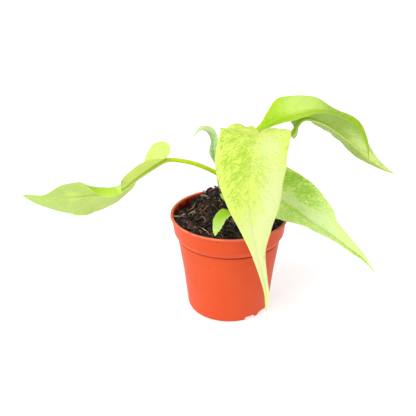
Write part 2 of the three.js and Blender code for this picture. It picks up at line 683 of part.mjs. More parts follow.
// The stalk runs from the stem to the blade and on under the midrib as a keel.
function stalkSolid(leaf, steps) {
  const petiole = sampled(curveThrough(leaf.petiole), steps.rings);
  const keelLength = leaf.length * KEEL_SHARE;
  const keelSteps = Math.round(steps.along * KEEL_SHARE);
  const keel = [];
  for (let k = 1; k <= keelSteps; k += 1) {
    const share = k / keelSteps;
    const frame = bladeFrame(leaf, share * keelLength);
    const radius = KEEL_RADIUS + (KEEL_END_RADIUS - KEEL_RADIUS) * share;
    keel.push(frame.point.addScaledVector(frame.face, -radius * leaf.scale));
  }
  const joint = petiole[petiole.length - 1];
  const frame = bladeFrame(leaf, 0);
  joint.addScaledVector(frame.face, -PETIOLE_TOP_RADIUS * leaf.scale);
  const points = [...petiole, ...keel];
  const turn = (petiole.length - 1) / (points.length - 1);
  const radiusAt = (share) => {
    const foot = PETIOLE_FOOT_RADIUS;
    const u = share / turn;
    const v = (share - turn) / (1 - turn);
    const petioleRadius = foot + (PETIOLE_TOP_RADIUS - foot) * Math.sqrt(Math.min(u, 1));
    const keelRadius = KEEL_RADIUS + (KEEL_END_RADIUS - KEEL_RADIUS) * v;
    return leaf.scale * (share <= turn ? petioleRadius : keelRadius);
  };
  return solidOf(tubeAlong(points, radiusAt, steps.sides));
}

// A leaf: blade, petiole and midrib in one piece, cut to sit on the stem.
function leafMesh(design, steps, scale, colour, stemCut) {
  const curve = curveThrough(design.midrib);
  const widest = [0, 1, 2].map((column) => Math.max(...design.stations.map((row) => row[column])));
  const stations = design.stations.map(([place, left, right, , ...bends]) => [
    place, left, right, 0, ...bends,
  ]);
  const facing = design.stations.map(([place, , , direction]) => [place, ...direction]);
  const length = curve.getLength() - design.lobe;
  const { dents = [], lobeShares = [1, 1] } = design;
  const leaf = { ...design, dents, lobeShares, curve, widest, stations, facing, length, scale };
  const solid = bladeSolid(leaf, steps).add(stalkSolid(leaf, steps)).subtract(stemCut);
  const material = new THREE.MeshStandardMaterial({ color: colour, roughness: 0.4, metalness: 0 });
  return meshOf(design.name, geometryOfSolid(solid), material);
}

const plant = new THREE.Group();
const stemCut = stemSolid(SEAT_GAP);
plant.add(pot());
plant.add(soil(stemCut));
plant.add(stem());
plant.add(leafMesh(FRONT_LEAF, LARGE_LEAF, 1, 0xd6f066, stemCut));
plant.add(leafMesh(UPPER_LEAF, LARGE_LEAF, 1, 0xb9e64c, stemCut));
plant.add(leafMesh(BACK_RIGHT_LEAF, LARGE_LEAF, 1, 0xa9cf68, stemCut));
plant.add(leafMesh(RIGHT_LEAF, LARGE_LEAF, 1, 0x8fc043, stemCut));
plant.add(leafMesh(LEFT_LEAF, LARGE_LEAF, 1, 0xc9ea72, stemCut));
plant.add(leafMesh(SMALL_BACK_LEAF, SMALL_LEAF, 0.6, 0xa8d3a0, stemCut));
plant.add(leafMesh(SMALL_FRONT_LEAF, SMALL_LEAF, 0.6, 0x8ccf4d, stemCut));
plant.add(leafMesh(BRACT, SMALL_LEAF, 0.5, 0xb4c95a, stemCut));

export default plant;
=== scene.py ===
"""A young hybrid philodendron in a nursery pot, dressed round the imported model.

Lengths in the tables are millimetres, as in the part's source, and meshes are made in metres.
Left and right of a leaf are seen from above with the tip ahead.
"""
import math

import bmesh
import bpy
import numpy as np
from mathutils import Matrix, Vector, noise


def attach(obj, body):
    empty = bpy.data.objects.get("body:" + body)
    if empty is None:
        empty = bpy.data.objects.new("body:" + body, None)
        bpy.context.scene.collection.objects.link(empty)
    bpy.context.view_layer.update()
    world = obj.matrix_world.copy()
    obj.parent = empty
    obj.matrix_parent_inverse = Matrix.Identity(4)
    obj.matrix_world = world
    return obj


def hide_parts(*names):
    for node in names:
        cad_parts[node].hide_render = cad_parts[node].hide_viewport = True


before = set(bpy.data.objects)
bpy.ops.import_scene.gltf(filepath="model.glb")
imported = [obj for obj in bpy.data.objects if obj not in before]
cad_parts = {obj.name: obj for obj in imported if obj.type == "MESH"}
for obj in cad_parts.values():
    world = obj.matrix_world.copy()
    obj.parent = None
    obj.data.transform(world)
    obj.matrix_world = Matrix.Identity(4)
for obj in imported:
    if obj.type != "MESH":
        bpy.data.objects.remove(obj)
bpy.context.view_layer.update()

MM = 0.001
SEED = 7


def srgb(red, green, blue):
    """A colour as a screen shows it, 0 to 255, in linear light."""
    return tuple((c / 255.0) ** 2.2 for c in (red, green, blue)) + (1.0,)


# Camera, fitted to the pot's rim, collar and base in the photograph
CAMERA_PLACE = (0.0, -0.650, 0.424)
CAMERA_PITCH = 0.450
CAMERA_YAW = -0.033
CAMERA_ROLL = -0.0045
CAMERA_LENS = 61.75

# Pot
POT_HEIGHT = 105.0
RIM_RADIUS = 59.8
LIP_HEIGHT = 2.2
COLLAR_TOP_RADIUS = 57.9
COLLAR_FOOT_RADIUS = 56.2
COLLAR_FOOT = 88.0
STEP_FOOT = 81.5
STEP_RADIUS = 53.3
BODY_TOP_RADIUS = 52.4
BODY_MID_RADIUS = 47.1
BODY_MID = 44.0
BODY_LOW_RADIUS = 43.6
BODY_LOW = 12.0
BASE_RADIUS = 41.4
WALL = 1.5
FOOT_RING_INNER_RADIUS = 38.4
FLOOR_UNDERSIDE = 4.6
FLOOR_TOP = 6.2
CENTRE_PAD_RADIUS = 13.0
NOTCH_HALF_WIDTH = 6.2
NOTCH_HEIGHT = 4.6
NOTCH_ANGLES = (33, 56, 213, 236)
POT_SIDES = 240

# Soil
SOIL_LEVEL = 100.5
SOIL_HEAP = 9.0
SOIL_HEAP_PLACE = (-16.0, 43.0)
SOIL_HEAP_SPREAD = 18.0
SOIL_HOLLOW = 5.0
SOIL_HOLLOW_PLACE = (-44.0, 26.0)
SOIL_HOLLOW_SPREAD = 16.0
SOIL_BANK = 3.5
SOIL_BANK_PLACE = (-50.0, -14.0)
SOIL_BANK_SPREAD = 15.0
SOIL_LUMP = 1.3
SOIL_GAP = 0.35

# Soil stains inside the pot thin out above this height
DIRT_LINE = 98.0

# Soil mesh, crumbs and fibres
SOIL_RINGS = 96
SOIL_SIDES = 300
SOIL_RIM = 54.0
SOIL_FOOT = STEP_FOOT - 1.5
CRUMB_COUNT = 1100
CRUMB_LEAST_SIZE = 0.45
CRUMB_SIZE_SPAN = 2.0
CRUMB_STRETCH = (0.7, 1.9), (0.5, 1.1), (0.4, 0.8)
CRUMB_WARP = 0.9
FIBRE_COUNT = 1000
FIBRE_STEPS = 9
FIBRE_LEAST_LENGTH = 3
FIBRE_LENGTH_SPAN = 11
FIBRE_LEAST_RADIUS = 0.12
FIBRE_RADIUS_SPAN = 0.22
FIBRE_CURVE = 0.06
FIBRE_LIFT = 1.8
FIBRE_SIDES = 5
LAID_THREAD_SIDES = 7
SCATTER_REACH = 52.0
FIBRE_REACH = 54.6
CLOD_SIZE = 6.5
SMALL_CLOD_SIZE = 2.7
CLOD_EDGE = 1.7

# Stem
STEM_PLACE = (10.0, 4.0)
STEM_TOP = 116.0
STEM_FOOT = 94.0
STEM_RADIUS = 9.0
STEM_RINGS = 60
STEM_SIDES = 64
STEM_STAIN = (98.0, 106.0)
SCAR_SPACING = 5.2
SCAR_HALF_WIDTH = 0.45
SCAR_HEIGHT = 0.3

# Leaves
STATION_COLUMNS = 10
BLADE_HALF = 0.26
VEIN_SPACING = 9.5
VEIN_LEAN = 0.65
VEIN_BOW = 0.006
LOBE_CENTRE = 0.5
RIPPLE_PHASE = 1.3
FLUTTER = 0.16
TANGENT_STEP = 2.0
CREASE_SOFTNESS = 2.2
PUCKER_HEIGHT = 0.24
GROOVE_DEPTH = 0.4
GROOVE_HALF_WIDTH = 1.1
RIB_SHARE = 0.93
VEIN_FAN = 30

# Stalks, and the keels they turn into under the midribs
STALK_SIDES = 14
STALK_STEPS = 44
STALK_RADIUS = 2.9
STALK_TAPER = 0.95
KEEL_STEPS = 60
KEEL_SHARE = 0.9
KEEL_TIP_RADIUS = 0.35
KEEL_SWELL = 1.45
KEEL_THINNING = 1.4
KEEL_DROP = 0.3
JOINT_STEPS = 5
JOINT_PASSES = 6

# Marks on a leaf: how finely they repeat across and along its side veins, and where marbling starts
STREAKS = (0.5, 0.15)
THREADS = (1.6, 0.32)
BLOTS = (0.07, 0.05)
VEIN_SWAY = 9.0
MARBLE_START = 0.63
MARBLE_REACH = 0.26

# Colours of the pot and its wear, and of the shade painted under its step and inside its wall
POT_RED = srgb(220, 80, 38)
POT_LIGHT = srgb(230, 90, 46)
POT_DEEP = srgb(196, 66, 30)
POT_SPECK = srgb(96, 44, 30)
POT_STEP_SHADE = srgb(104, 36, 20)
POT_FOOT = srgb(150, 60, 36)
POT_LIP = srgb(246, 150, 120)
POT_INSIDE_SHADE = srgb(182, 46, 22)
POT_SOILED = srgb(38, 24, 20)
POT_SCRATCH = srgb(240, 150, 120)

# Colours of the soil, the fibres and the stem; the third colour of the peat and of the crumbs is a grey
# painted as glints
PEAT_COLOURS = srgb(8, 7, 9), srgb(30, 22, 22), srgb(120, 110, 108)
CRUMB_COLOURS = srgb(10, 8, 10), srgb(84, 62, 54), srgb(164, 160, 168)
FIBRE_DARK = srgb(30, 24, 22)
FIBRE_DIRT = srgb(58, 40, 34)
FIBRE_RED = srgb(224, 144, 106)
FIBRE_PALE = srgb(236, 216, 192)
STEM_GREEN = srgb(150, 186, 70)
STEM_DEEP = srgb(112, 152, 46)
STEM_PALE = srgb(176, 196, 106)
STEM_SCAR = srgb(122, 88, 50)
WHITE = (1, 1, 1, 1)
FLOOR_GLOW = 0.68
FLOOR_HALF = 6000.0
FLOOR_LEVEL = -0.15

# What a leaf has unless its own table says otherwise
PLAIN = dict(
    ripple=(1.0, 0.6, 2.5), lobe_shares=(1.0, 1.0), dents=[], scale=1.0, swelling=0.35,
    marble_and_painted_shade=0.3, contrast=0.9, grain=1.0, patches=[], pale_wash_and_painted_light=[],
)
SMALL = dict(PLAIN, ripple=(0, 0, 1), scale=0.6)

# Stations: place (-1 lobe end, 0 petiole, 1 tip), width left, width right, way the face looks,
# then in degrees the rise at the midrib left and right, and the bend on to the edge left and right.
# Zeros at a row's end are left out.
# Dents: place along and across in millimetres, spread, height. Patches and pale washes: place along and
# across as shares of the blade, spread along and across, strength. Some rows paint light and shade:
# they lighten parts that lie in shade and darken parts that face away from the light.
LEAVES = {}

LEAVES["leaf_front"] = dict(
    PLAIN,
    petiole=[(10, -1, 104), (10, -7, 122), (12, -8, 160), (19, -15, 189), (27, -28, 198)],
    midrib=[
        (28, -10, 200), (27, -28, 198), (22, -43, 187), (19, -54, 167), (19, -61, 147), (22, -65, 123),
        (27, -67, 96), (33, -67, 72), (37, -66, 50), (37, -64, 28),
    ],
    lobe=18, ripple=(1.0, 1.0, 2.5), grid=(104, 20, 16),
    stations=[
        (-1, 30, 36, 0, -0.1, 1, -8, 12, -10, -10),
        (0, 29, 37, 0, -0.7, 0.7, 10, 8, -14, -14),
        (0.08, 30, 34.5, 0, -0.85, 0.55, 9, 8, -15, -17),
        (0.15, 31, 34.5, 0, -0.9, 0.45, 8, 8, -16, -20),
        (0.35, 28, 22.8, 0, -0.97, 0.25, 8, 8, -14, -30),
        (0.5, 17, 12.2, 0, -0.98, 0.2, 8, 8, -14, -24),
        (0.65, 6.5, 5.6, 0, -1, 0.1, 8, 8, -10, -14),
        (0.8, 3, 3.5, 0, -1, 0.1, 8, 8),
        (0.92, 2, 2, 0, -1, 0.1, 8, 8),
        (1, 0.3, 0.3, 0, -1, 0.1),
    ],
    dents=[
        (-12, 31, 4.5, -4.5), (-4, 36, 5, -2.5), (-17, 13, 3.5, -2.2), (-12, 7, 4, 1.6),
        (-8, -27, 8, 2.6), (-18, -16, 8, 2), (-3, -15, 5, -1.3), (-3, 16, 6, -1.2),
    ],
    light=(214, 232, 106), dark=(160, 198, 30), pale=(223, 234, 162), under=(186, 212, 104),
    contrast=0.85, grain=0.8, marble_and_painted_shade=0.26,
    patches=[
        (0.14, 0.5, 0.16, 0.5, 0.35), (0.22, -0.45, 0.14, 0.3, 0.25), (0.42, -0.1, 0.1, 0.2, 0.2),
        (0.36, 0.5, 0.12, 0.35, 0.25), (0.66, 0, 0.28, 0.9, -0.4),
    ],
    pale_wash_and_painted_light=[(0.3, -0.75, 0.2, 0.4, 0.6), (0.05, -0.4, 0.12, 0.4, 0.35), (0.75, 0, 0.32, 1.2, 0.85)],
)

LEAVES["leaf_upper"] = dict(
    PLAIN,
    petiole=[(15, 6, 107), (19, 8, 128), (21, 11, 162), (25, 10, 182), (31, 8, 191)],
    midrib=[
        (24, 8, 183), (31, 8, 191), (48, 11, 201), (66, 14, 207), (84, 15, 210), (102, 14, 208),
        (117, 11, 201), (127, 8, 190), (134, 6, 173), (136, 3, 159),
    ],
    lobe=10, grid=(90, 18, 10),
    stations=[
        (-1, 5, 5, -0.2, 0, 1, 28, 10),
        (0, 7, 7, -0.2, 0, 1, 28, 5),
        (0.1, 15, 14, -0.2, 0, 1, 29, 5),
        (0.2, 25, 21, -0.1, 0, 1, 30, 5),
        (0.4, 21, 22, 0.1, 0, 1, 25, 6, -10, 0),
        (0.6, 10, 16, 0.3, -0.1, 0.9, 15, 8, -20, 0),
        (0.75, 7, 8, 0.6, -0.3, 0.7, 10, 10),
        (0.88, 3.5, 3.5, 0.8, -0.4, 0.4, 10, 10),
        (1, 0.3, 0.3, 0.9, -0.4, 0.2),
    ],
    dents=[(76, -17, 14, -5)],
    light=(172, 210, 26), dark=(140, 186, 4), pale=(196, 226, 108), under=(160, 192, 60),
    marble_and_painted_shade=0.1,
    patches=[(0.02, 0.3, 0.16, 1.0, 0.6), (0.58, 0, 0.16, 1.4, 0.6), (0.35, 0.5, 0.3, 0.4, 0.3)],
    pale_wash_and_painted_light=[(0.34, -0.5, 0.15, 0.8, 0.9)],
)

LEAVES["leaf_back_right"] = dict(
    PLAIN,
    petiole=[(11, 9, 106), (15, 18, 128), (33, 25, 158), (52, 24, 174), (62, 22, 180), (65, 23, 186)],
    midrib=[
        (60.5, 22, 178), (65, 23, 186), (68, 24, 192), (74, 25, 196), (84, 26, 195), (98, 29, 188),
        (123, 30, 169), (141, 25, 155), (155, 19, 147), (165, 15, 143),
    ],
    lobe=9.3, swelling=-0.9, grid=(80, 18, 14),
    stations=[
        (-1, 5, 4, 0.5, 0.75, 0.4),
        (0, 5, 4, 0.5, 0.75, 0.4, 75, 40),
        (0.06, 7, 13.5, 0.5, 0.75, 0.4, 105, 5),
        (0.12, 11, 14, 0.5, 0.75, 0.4, 78, 8),
        (0.18, 19, 13, 0.5, 0.75, 0.4, 42, 5),
        (0.25, 26, 18, 0.5, 0.75, 0.4, 28, 5),
        (0.35, 28, 23.5, 0.5, 0.75, 0.4, 26, 8),
        (0.527, 27, 22.5, 0.5, 0.75, 0.4, 26, 10),
        (0.7, 16, 13, 0.5, 0.75, 0.4, 15, 5),
        (0.87, 6, 4.5, 0.5, 0.75, 0.4, 10, 10),
        (1, 0.3, 0.3, 0.5, 0.75, 0.4),
    ],
    light=(178, 218, 74), dark=(112, 160, 24), pale=(232, 250, 140), under=(170, 198, 92),
    under_pale=(222, 242, 150), stalk=(168, 208, 40),
    # Painted shade and light: the patch and the negative wash at (0.45, -0.65) darken the lower half, which
    # faces away from the light; the wash at the lobe ends (-0.07) paints light on them where the upper leaf
    # shades them, and pale and under_pale are raised for it
    patches=[(0.3, 0, 0.3, 1, 0.2), (0.45, -0.65, 0.35, 0.5, 0.7)],
    pale_wash_and_painted_light=[(0.75, 0.3, 0.3, 0.8, 0.6), (-0.07, 0, 0.07, 2, 1.0), (0.45, -0.65, 0.3, 0.5, -0.7)],
)

LEAVES["leaf_right"] = dict(
    PLAIN,
    petiole=[(14, 1, 105), (20, -2, 115), (27, -6, 127), (33, -8, 132), (40, -10, 134)],
    midrib=[
        (26, -6, 140), (40, -10, 134), (62, -20, 123), (87, -30, 107), (102, -35, 98), (119, -40, 86),
        (131, -42, 77), (143, -45, 63),
    ],
    lobe=16, grid=(90, 20, 12),
    stations=[
        (-1, 28, 22, -0.2, -0.4, 0.9, 10, 30),
        (0, 30, 30, -0.2, -0.5, 0.85, 10, 20),
        (0.1, 30, 30, -0.15, -0.55, 0.8, 10, 20),
        (0.2, 30, 25, -0.1, -0.6, 0.8, 10, 25),
        (0.4, 24, 19, -0.1, -0.6, 0.8, 10, 42),
        (0.47, 20.5, 15.5, -0.1, -0.6, 0.8, 10, 42),
        (0.54, 13.5, 11, -0.1, -0.6, 0.8, 10, 40),
        (0.62, 10.5, 8, -0.1, -0.6, 0.8, 10, 40),
        (0.76, 6.5, 5, -0.1, -0.6, 0.8, 10, 30),
        (0.9, 1.8, 1.6, -0.1, -0.6, 0.8, 10, 10),
        (1, 0.3, 0.3, -0.1, -0.6, 0.8),
    ],
    light=(219, 243, 142), dark=(156, 206, 18), pale=(223, 243, 170), under=(160, 194, 88),
    patches=[
        (0.12, -0.6, 0.3, 0.5, 0.42), (0.35, 0.2, 0.3, 0.15, 0.5), (0.75, 0.4, 0.25, 0.3, 0.4),
        (0.25, 0.6, 0.2, 0.3, 0.25), (0.8, -0.6, 0.3, 0.6, -0.2),
    ],
    pale_wash_and_painted_light=[
        (0.22, -0.1, 0.3, 0.16, 0.6), (0.25, 0.6, 0.3, 0.5, 0.25), (0.45, -0.2, 0.14, 0.6, 0.5),
        (0.7, -0.3, 0.25, 0.8, 0.35),
    ],
)

LEAVES["leaf_left"] = dict(
    PLAIN,
    petiole=[(5, 4, 106), (1, 5, 122), (-6, 3, 141), (-16, 0, 150), (-37, -5, 161), (-62, -10, 167)],
    midrib=[
        (-54, -8, 173), (-62, -10, 167), (-88, -20, 151.5), (-110, -28, 136.8), (-130, -34, 138),
        (-152, -38, 138), (-175, -40, 136), (-197, -40, 141),
    ],
    lobe=10, lobe_shares=(0.25, 1.0), grid=(100, 20, 10),
    stations=[
        (-1, 4, 19, -0.1, 0.65, 0.7, -20, 80),
        (0, 11, 22.5, -0.1, 0.65, 0.7, -20, 80),
        (0.05, 16, 23, -0.1, 0.65, 0.7, -8, 70),
        (0.1, 18, 23, -0.1, 0.65, 0.7, 2, 55),
        (0.2, 20, 22, -0.1, 0.65, 0.7, 5, 30),
        (0.3, 19, 19, -0.1, 0.67, 0.68, 6, 14, -20, 0),
        (0.36, 27, 17, -0.1, 0.7, 0.65, 34, 8, -135, 0),
        (0.42, 30, 22, -0.1, 0.72, 0.63, 43, 0, -140, 0),
        (0.5, 29, 30, -0.1, 0.76, 0.6, 45, -5, -150, 0),
        (0.62, 27, 31, -0.1, 0.8, 0.55, 22, -5, -45, 0),
        (0.75, 16, 30.5, -0.1, 0.8, 0.55, 10, 0),
        (0.87, 6, 16, -0.1, 0.8, 0.55, 10, 5),
        (0.95, 3, 7, -0.1, 0.8, 0.55, 10, 5),
        (1, 0.3, 0.3, -0.1, 0.8, 0.55),
    ],
    light=(186, 222, 66), dark=(150, 202, 24), pale=(208, 234, 122), under=(190, 217, 114),
    under_pale=(226, 250, 118), stalk=(194, 220, 8), marble_and_painted_shade=0.15,
    # Painted light: the negative patch and the wash near 0.15 lighten the band that faces away from the
    # light, with the lime under_pale, and the wash at 0.68 along the middle paints a sheen
    patches=[(0.75, 1.0, 0.3, 0.4, 0.3), (0.92, 0, 0.12, 2, 0.3), (0.15, 0, 0.2, 2, -0.6)],
    pale_wash_and_painted_light=[(0.68, -0.1, 0.18, 0.5, 0.3), (0.16, 0, 0.17, 2, 1.0), (-0.05, 0.6, 0.12, 0.8, 0.4)],
)

LEAVES["leaf_small_back"] = dict(
    SMALL,
    petiole=[(7, 8, 104), (2, 15, 112), (-8, 24, 125)],
    midrib=[
        (-7, 23, 121), (-8, 24, 125), (-11, 25, 140), (-15, 25, 160), (-16, 25, 173), (-21, 24, 183),
        (-28, 23, 186), (-34, 21, 182), (-37, 20, 177),
    ],
    lobe=4, grid=(60, 8, 5),
    stations=[
        (-1, 2.5, 2.5, -0.3, -0.8, 0.2, 35, 35),
        (0, 4, 4.5, -0.3, -0.8, 0.2, 35, 35),
        (0.3, 2.8, 8, -0.3, -0.8, 0.3, 30, 30),
        (0.45, 5.6, 7.5, -0.3, -0.7, 0.45, 30, 30),
        (0.58, 3.6, 7, -0.3, -0.6, 0.6, 30, 30),
        (0.68, 2.6, 6, -0.3, -0.5, 0.7, 25, 25),
        (0.8, 4, 4, -0.3, -0.4, 0.8, 20, 20),
        (1, 0.3, 0.3, -0.8, 0, 0.3),
    ],
    light=(190, 222, 156), dark=(134, 180, 92), pale=(214, 228, 162), under=(196, 220, 176),
    stalk=(150, 190, 96), marble_and_painted_shade=0.5,
    pale_wash_and_painted_light=[(0.85, 0, 0.25, 2, 0.5)],
)

LEAVES["leaf_small_front"] = dict(
    SMALL,
    petiole=[(6, 0, 104), (4, -9, 109), (6, -20, 114), (5, -29, 117)],
    midrib=[
        (7, -26, 116), (5, -29, 117), (0, -35, 120.3), (-5, -41, 118.5), (-8.5, -46, 114),
        (-12, -50, 109.5), (-13.2, -52.6, 105.5),
    ],
    lobe=5, grid=(40, 10, 6),
    stations=[
        (-1, 3, 4, 0, -0.2, 1, 5, 5),
        (0, 4, 7, 0, -0.2, 1, 10, 10),
        (0.3, 5, 9, -0.2, -0.3, 1, 18, 20),
        (0.6, 5, 8.5, -0.5, -0.6, 0.5, 25, 24),
        (0.85, 3.8, 4, -0.6, -0.8, 0.2, 20, 20),
        (1, 0.3, 0.3, -0.6, -0.8, 0.1),
    ],
    light=(174, 220, 56), dark=(144, 200, 24), pale=(196, 228, 134), under=(172, 214, 122),
    pale_wash_and_painted_light=[(0.8, 0.3, 0.25, 1.0, 0.6), (0.5, -0.9, 0.4, 0.4, 0.5)],
)

LEAVES["bract"] = dict(
    SMALL,
    petiole=[(8, 3, 112), (6, 0, 117), (4, -2, 119)],
    midrib=[(6, 0, 117), (4, -2, 119), (0, -4, 121.5), (-5, -5.5, 123.5), (-9.3, -6.5, 129)],
    lobe=2, scale=0.5, grid=(24, 6, 3),
    stations=[
        (-1, 2.5, 2.5, -0.3, -0.5, 0.8, 20, 20),
        (0, 3, 3, -0.3, -0.5, 0.8, 30, 30, 20, 20),
        (0.4, 4.2, 4.2, -0.3, -0.5, 0.8, 30, 30, 20, 20),
        (0.75, 2.5, 2.5, -0.3, -0.5, 0.8, 30, 30),
        (1, 0.3, 0.3, -0.3, -0.5, 0.8),
    ],
    light=(200, 234, 104), dark=(168, 214, 70), pale=(222, 240, 160), under=(202, 232, 128),
)


# Curves and smooth columns

def spline(points, steps=48):
    """Smooth curve through points, as arc lengths and positions."""
    knots = np.array(points, float)
    knots = np.vstack([2 * knots[0] - knots[1], knots, 2 * knots[-1] - knots[-2]])
    u = np.linspace(0, 1, steps, endpoint=False)[:, None]
    parts = []
    for k in range(1, len(knots) - 2):
        a, b, c, d = knots[k - 1:k + 3]
        cubic = 2 * b + (c - a) * u + (2 * a - 5 * b + 4 * c - d) * u ** 2
        parts.append(0.5 * (cubic + (3 * b - a - 3 * c + d) * u ** 3))
    path = np.vstack(parts + [knots[-2:-1]])
    spans = np.linalg.norm(np.diff(path, axis=0), axis=1)
    return np.concatenate([[0.0], np.cumsum(spans)]), path


def point_on(curve, distance):
    arc, path = curve
    return np.stack([np.interp(distance, arc, path[:, k]) for k in range(3)], -1)


def eased(places, values, place):
    """Values at places on a smooth curve through the rows that never overshoots."""
    slopes = np.diff(values) / np.diff(places)
    tangents = np.zeros(len(values))
    tangents[0], tangents[-1] = slopes[0], slopes[-1]
    for k in range(1, len(values) - 1):
        before, after = slopes[k - 1], slopes[k]
        if before * after > 0:
            tangents[k] = 2 * before * after / (before + after)
    at = np.clip(place, places[0], places[-1])
    k = np.clip(np.searchsorted(places, at, side="right") - 1, 0, len(slopes) - 1)
    span = places[k + 1] - places[k]
    u = (at - places[k]) / span
    start = values[k] * (1 + 2 * u) + span * tangents[k] * u
    end = values[k + 1] * (3 - 2 * u) - span * tangents[k + 1] * (1 - u)
    return start * (1 - u) ** 2 + end * u ** 2


def unit(vectors):
    return vectors / np.linalg.norm(vectors, axis=-1, keepdims=True)


def smoothstep(value, low, high):
    u = np.clip((value - low) / (high - low), 0, 1)
    return u * u * (3 - 2 * u)


class Blade:
    """The middle surface of a leaf, as distances along its midrib and to either side."""

    def __init__(self, design, seed):
        rows = [row + (0,) * (STATION_COLUMNS - len(row)) for row in design["stations"]]
        self.rows = np.array(rows, float)
        self.lobe = design["lobe"]
        self.lobe_shares = design["lobe_shares"]
        self.ripple = design["ripple"]
        self.scale = design["scale"]
        self.dents = design["dents"]
        self.curve = spline(design["midrib"])
        self.length = self.curve[0][-1] - self.lobe
        draw = np.random.default_rng(seed)
        self.flutter = [(draw.uniform(3, 11), draw.uniform(0, 6.3), draw.uniform(0, 6.3)) for _ in range(6)]

    def column(self, index, place):
        return eased(self.rows[:, 0], self.rows[:, index], place)

    def frames(self, distance):
        point = point_on(self.curve, distance + self.lobe)
        along = point_on(self.curve, distance + self.lobe + TANGENT_STEP)
        along = unit(along - point_on(self.curve, distance + self.lobe - TANGENT_STEP))
        place = np.where(distance < 0, distance / self.lobe, distance / self.length)
        face = np.stack([self.column(k, place) for k in (3, 4, 5)], -1)
        face = unit(face - along * np.sum(face * along, -1, keepdims=True))
        return point, along, face, np.cross(along, face), place

    def surface(self, distance, width):
        """Points, upward normals and shares of the half-width reached."""
        point, _, face, right, place = self.frames(distance)
        side = np.where(width > 0, 1.0, -1.0)
        reach = np.abs(width)
        inside = np.maximum(place, 0)

        def sided(on_left, on_right):
            return np.where(side > 0, on_right, on_left)

        whole = np.maximum(sided(self.column(1, inside), self.column(2, inside)), 0.5)
        widest = sided(self.rows[:, 1].max(), self.rows[:, 2].max())
        fold = np.radians(sided(self.column(6, place), self.column(7, place)))
        curl = np.radians(sided(self.column(8, place), self.column(9, place)))
        curl = np.where(np.abs(curl) < 0.001, 0.001, curl)
        share = reach / whole
        turned = fold + curl * share
        across = (np.sin(turned) - np.sin(fold)) * whole / curl
        raised = (np.cos(fold) - np.cos(turned)) * whole / curl
        rise = 0.5 * (np.sin(np.radians(self.column(6, place))) + np.sin(np.radians(self.column(7, place))))
        raised = raised + rise * (np.hypot(reach, CREASE_SOFTNESS * self.scale) - reach)
        left_size, right_size, count = self.ripple
        size = sided(left_size, right_size) * whole / widest
        wave = size * share ** 2 * np.sin(2 * np.pi * count * place + sided(0.0, RIPPLE_PHASE))
        for turns, left_phase, right_phase in self.flutter:
            swing = np.sin(2 * np.pi * turns * place + sided(left_phase, right_phase))
            wave = wave + FLUTTER * self.scale * (whole / widest) * share ** 3 * swing
        for at, off, spread, height in self.dents:
            wave = wave + height * np.exp(-((distance - at) ** 2 + (width - off) ** 2) / spread ** 2)
        normal = np.cos(turned)[:, None] * face - (side * np.sin(turned))[:, None] * right
        spot = point + (side * across)[:, None] * right + raised[:, None] * face
        spot = spot + wave[:, None] * normal
        return spot, normal, share


def blade_plan(blade, along, across, lobes):
    """Distances, widths and quads of the flat leaf."""
    spots = []
    faces = []

    def add(distance, width):
        spots.append((distance, width))
        return len(spots) - 1

    def turn(corners, side):
        faces.append(tuple(corners) if side < 0 else tuple(reversed(corners)))

    def fill(row, following, side):
        for j in range(across):
            turn((row[j], row[j + 1], following[j + 1], following[j]), side)

    distances = blade.length * np.arange(along) / along
    ribs = [add(distance, 0.0) for distance in distances]
    tip = add(blade.length, 0.0)
    for side in (-1, 1):
        index = 2 if side > 0 else 1
        widths = blade.column(index, distances / blade.length)
        rows = []
        for rib, distance, width in zip(ribs, distances, widths):
            rows.append([rib] + [add(distance, side * width * j / across) for j in range(1, across + 1)])
        for row, following in zip(rows, rows[1:]):
            fill(row, following, side)
        for j in range(across):
            turn((rows[-1][j], rows[-1][j + 1], tip), side)
        centre = LOBE_CENTRE * widths[0]
        lobe = blade.lobe * blade.lobe_shares[0 if side < 0 else 1]
        row = rows[0]
        for k in range(1, lobes):
            angle = 0.5 * math.pi * k / lobes
            inner = centre * (1 - math.cos(angle))
            outer = centre + (widths[0] - centre) * math.cos(angle)
            steps = np.linspace(inner, outer, across + 1)
            further = [add(-lobe * math.sin(angle), side * max(step, 0.01)) for step in steps]
            fill(further, row, side)
            row = further
        end = add(-lobe, side * centre)
        for j in range(across):
            turn((end, row[j + 1], row[j]), side)
    return np.array(spots), faces


def rim_corners(faces):
    """Corners on the open rim of a sheet of faces."""
    edges = {pair for face in faces for pair in zip(face, face[1:] + face[:1])}
    return [a for a, b in edges if (b, a) not in edges]


def vein_coordinates(distance, reach):
    """Distance across the side veins and along them, for a point of the blade."""
    bowed = reach * (1 + VEIN_BOW * reach)
    border = math.atan2(1, VEIN_LEAN)
    angle = np.arctan2(bowed, distance)
    ahead = distance > VEIN_LEAN * bowed
    across = np.where(ahead, distance - VEIN_LEAN * bowed, -VEIN_FAN * (angle - border))
    length = np.where(ahead, bowed / math.sin(border), np.hypot(distance, bowed))
    return across, length


# Meshes

def make_object(name, corners, faces, materials, indices=None, smooth=True):
    mesh = bpy.data.meshes.new(name)
    mesh.from_pydata([tuple(corner) for corner in np.asarray(corners) * MM], [], faces)
    for material in materials:
        mesh.materials.append(material)
    if indices is not None:
        mesh.polygons.foreach_set("material_index", np.array(indices, np.int32))
    mesh.polygons.foreach_set("use_smooth", np.full(len(mesh.polygons), smooth))
    mesh.update()
    piece = bpy.data.objects.new(name, mesh)
    bpy.context.scene.collection.objects.link(piece)
    return piece


def add_attribute(piece, name, values):
    layer = piece.data.attributes.new(name, "FLOAT", "POINT")
    layer.data.foreach_set("value", np.asarray(values, np.float32))


def polar(radius, angle):
    return radius * math.cos(angle), radius * math.sin(angle)


def circle(sides):
    """Angles of the corners of a ring."""
    return [2 * math.pi * k / sides for k in range(sides)]


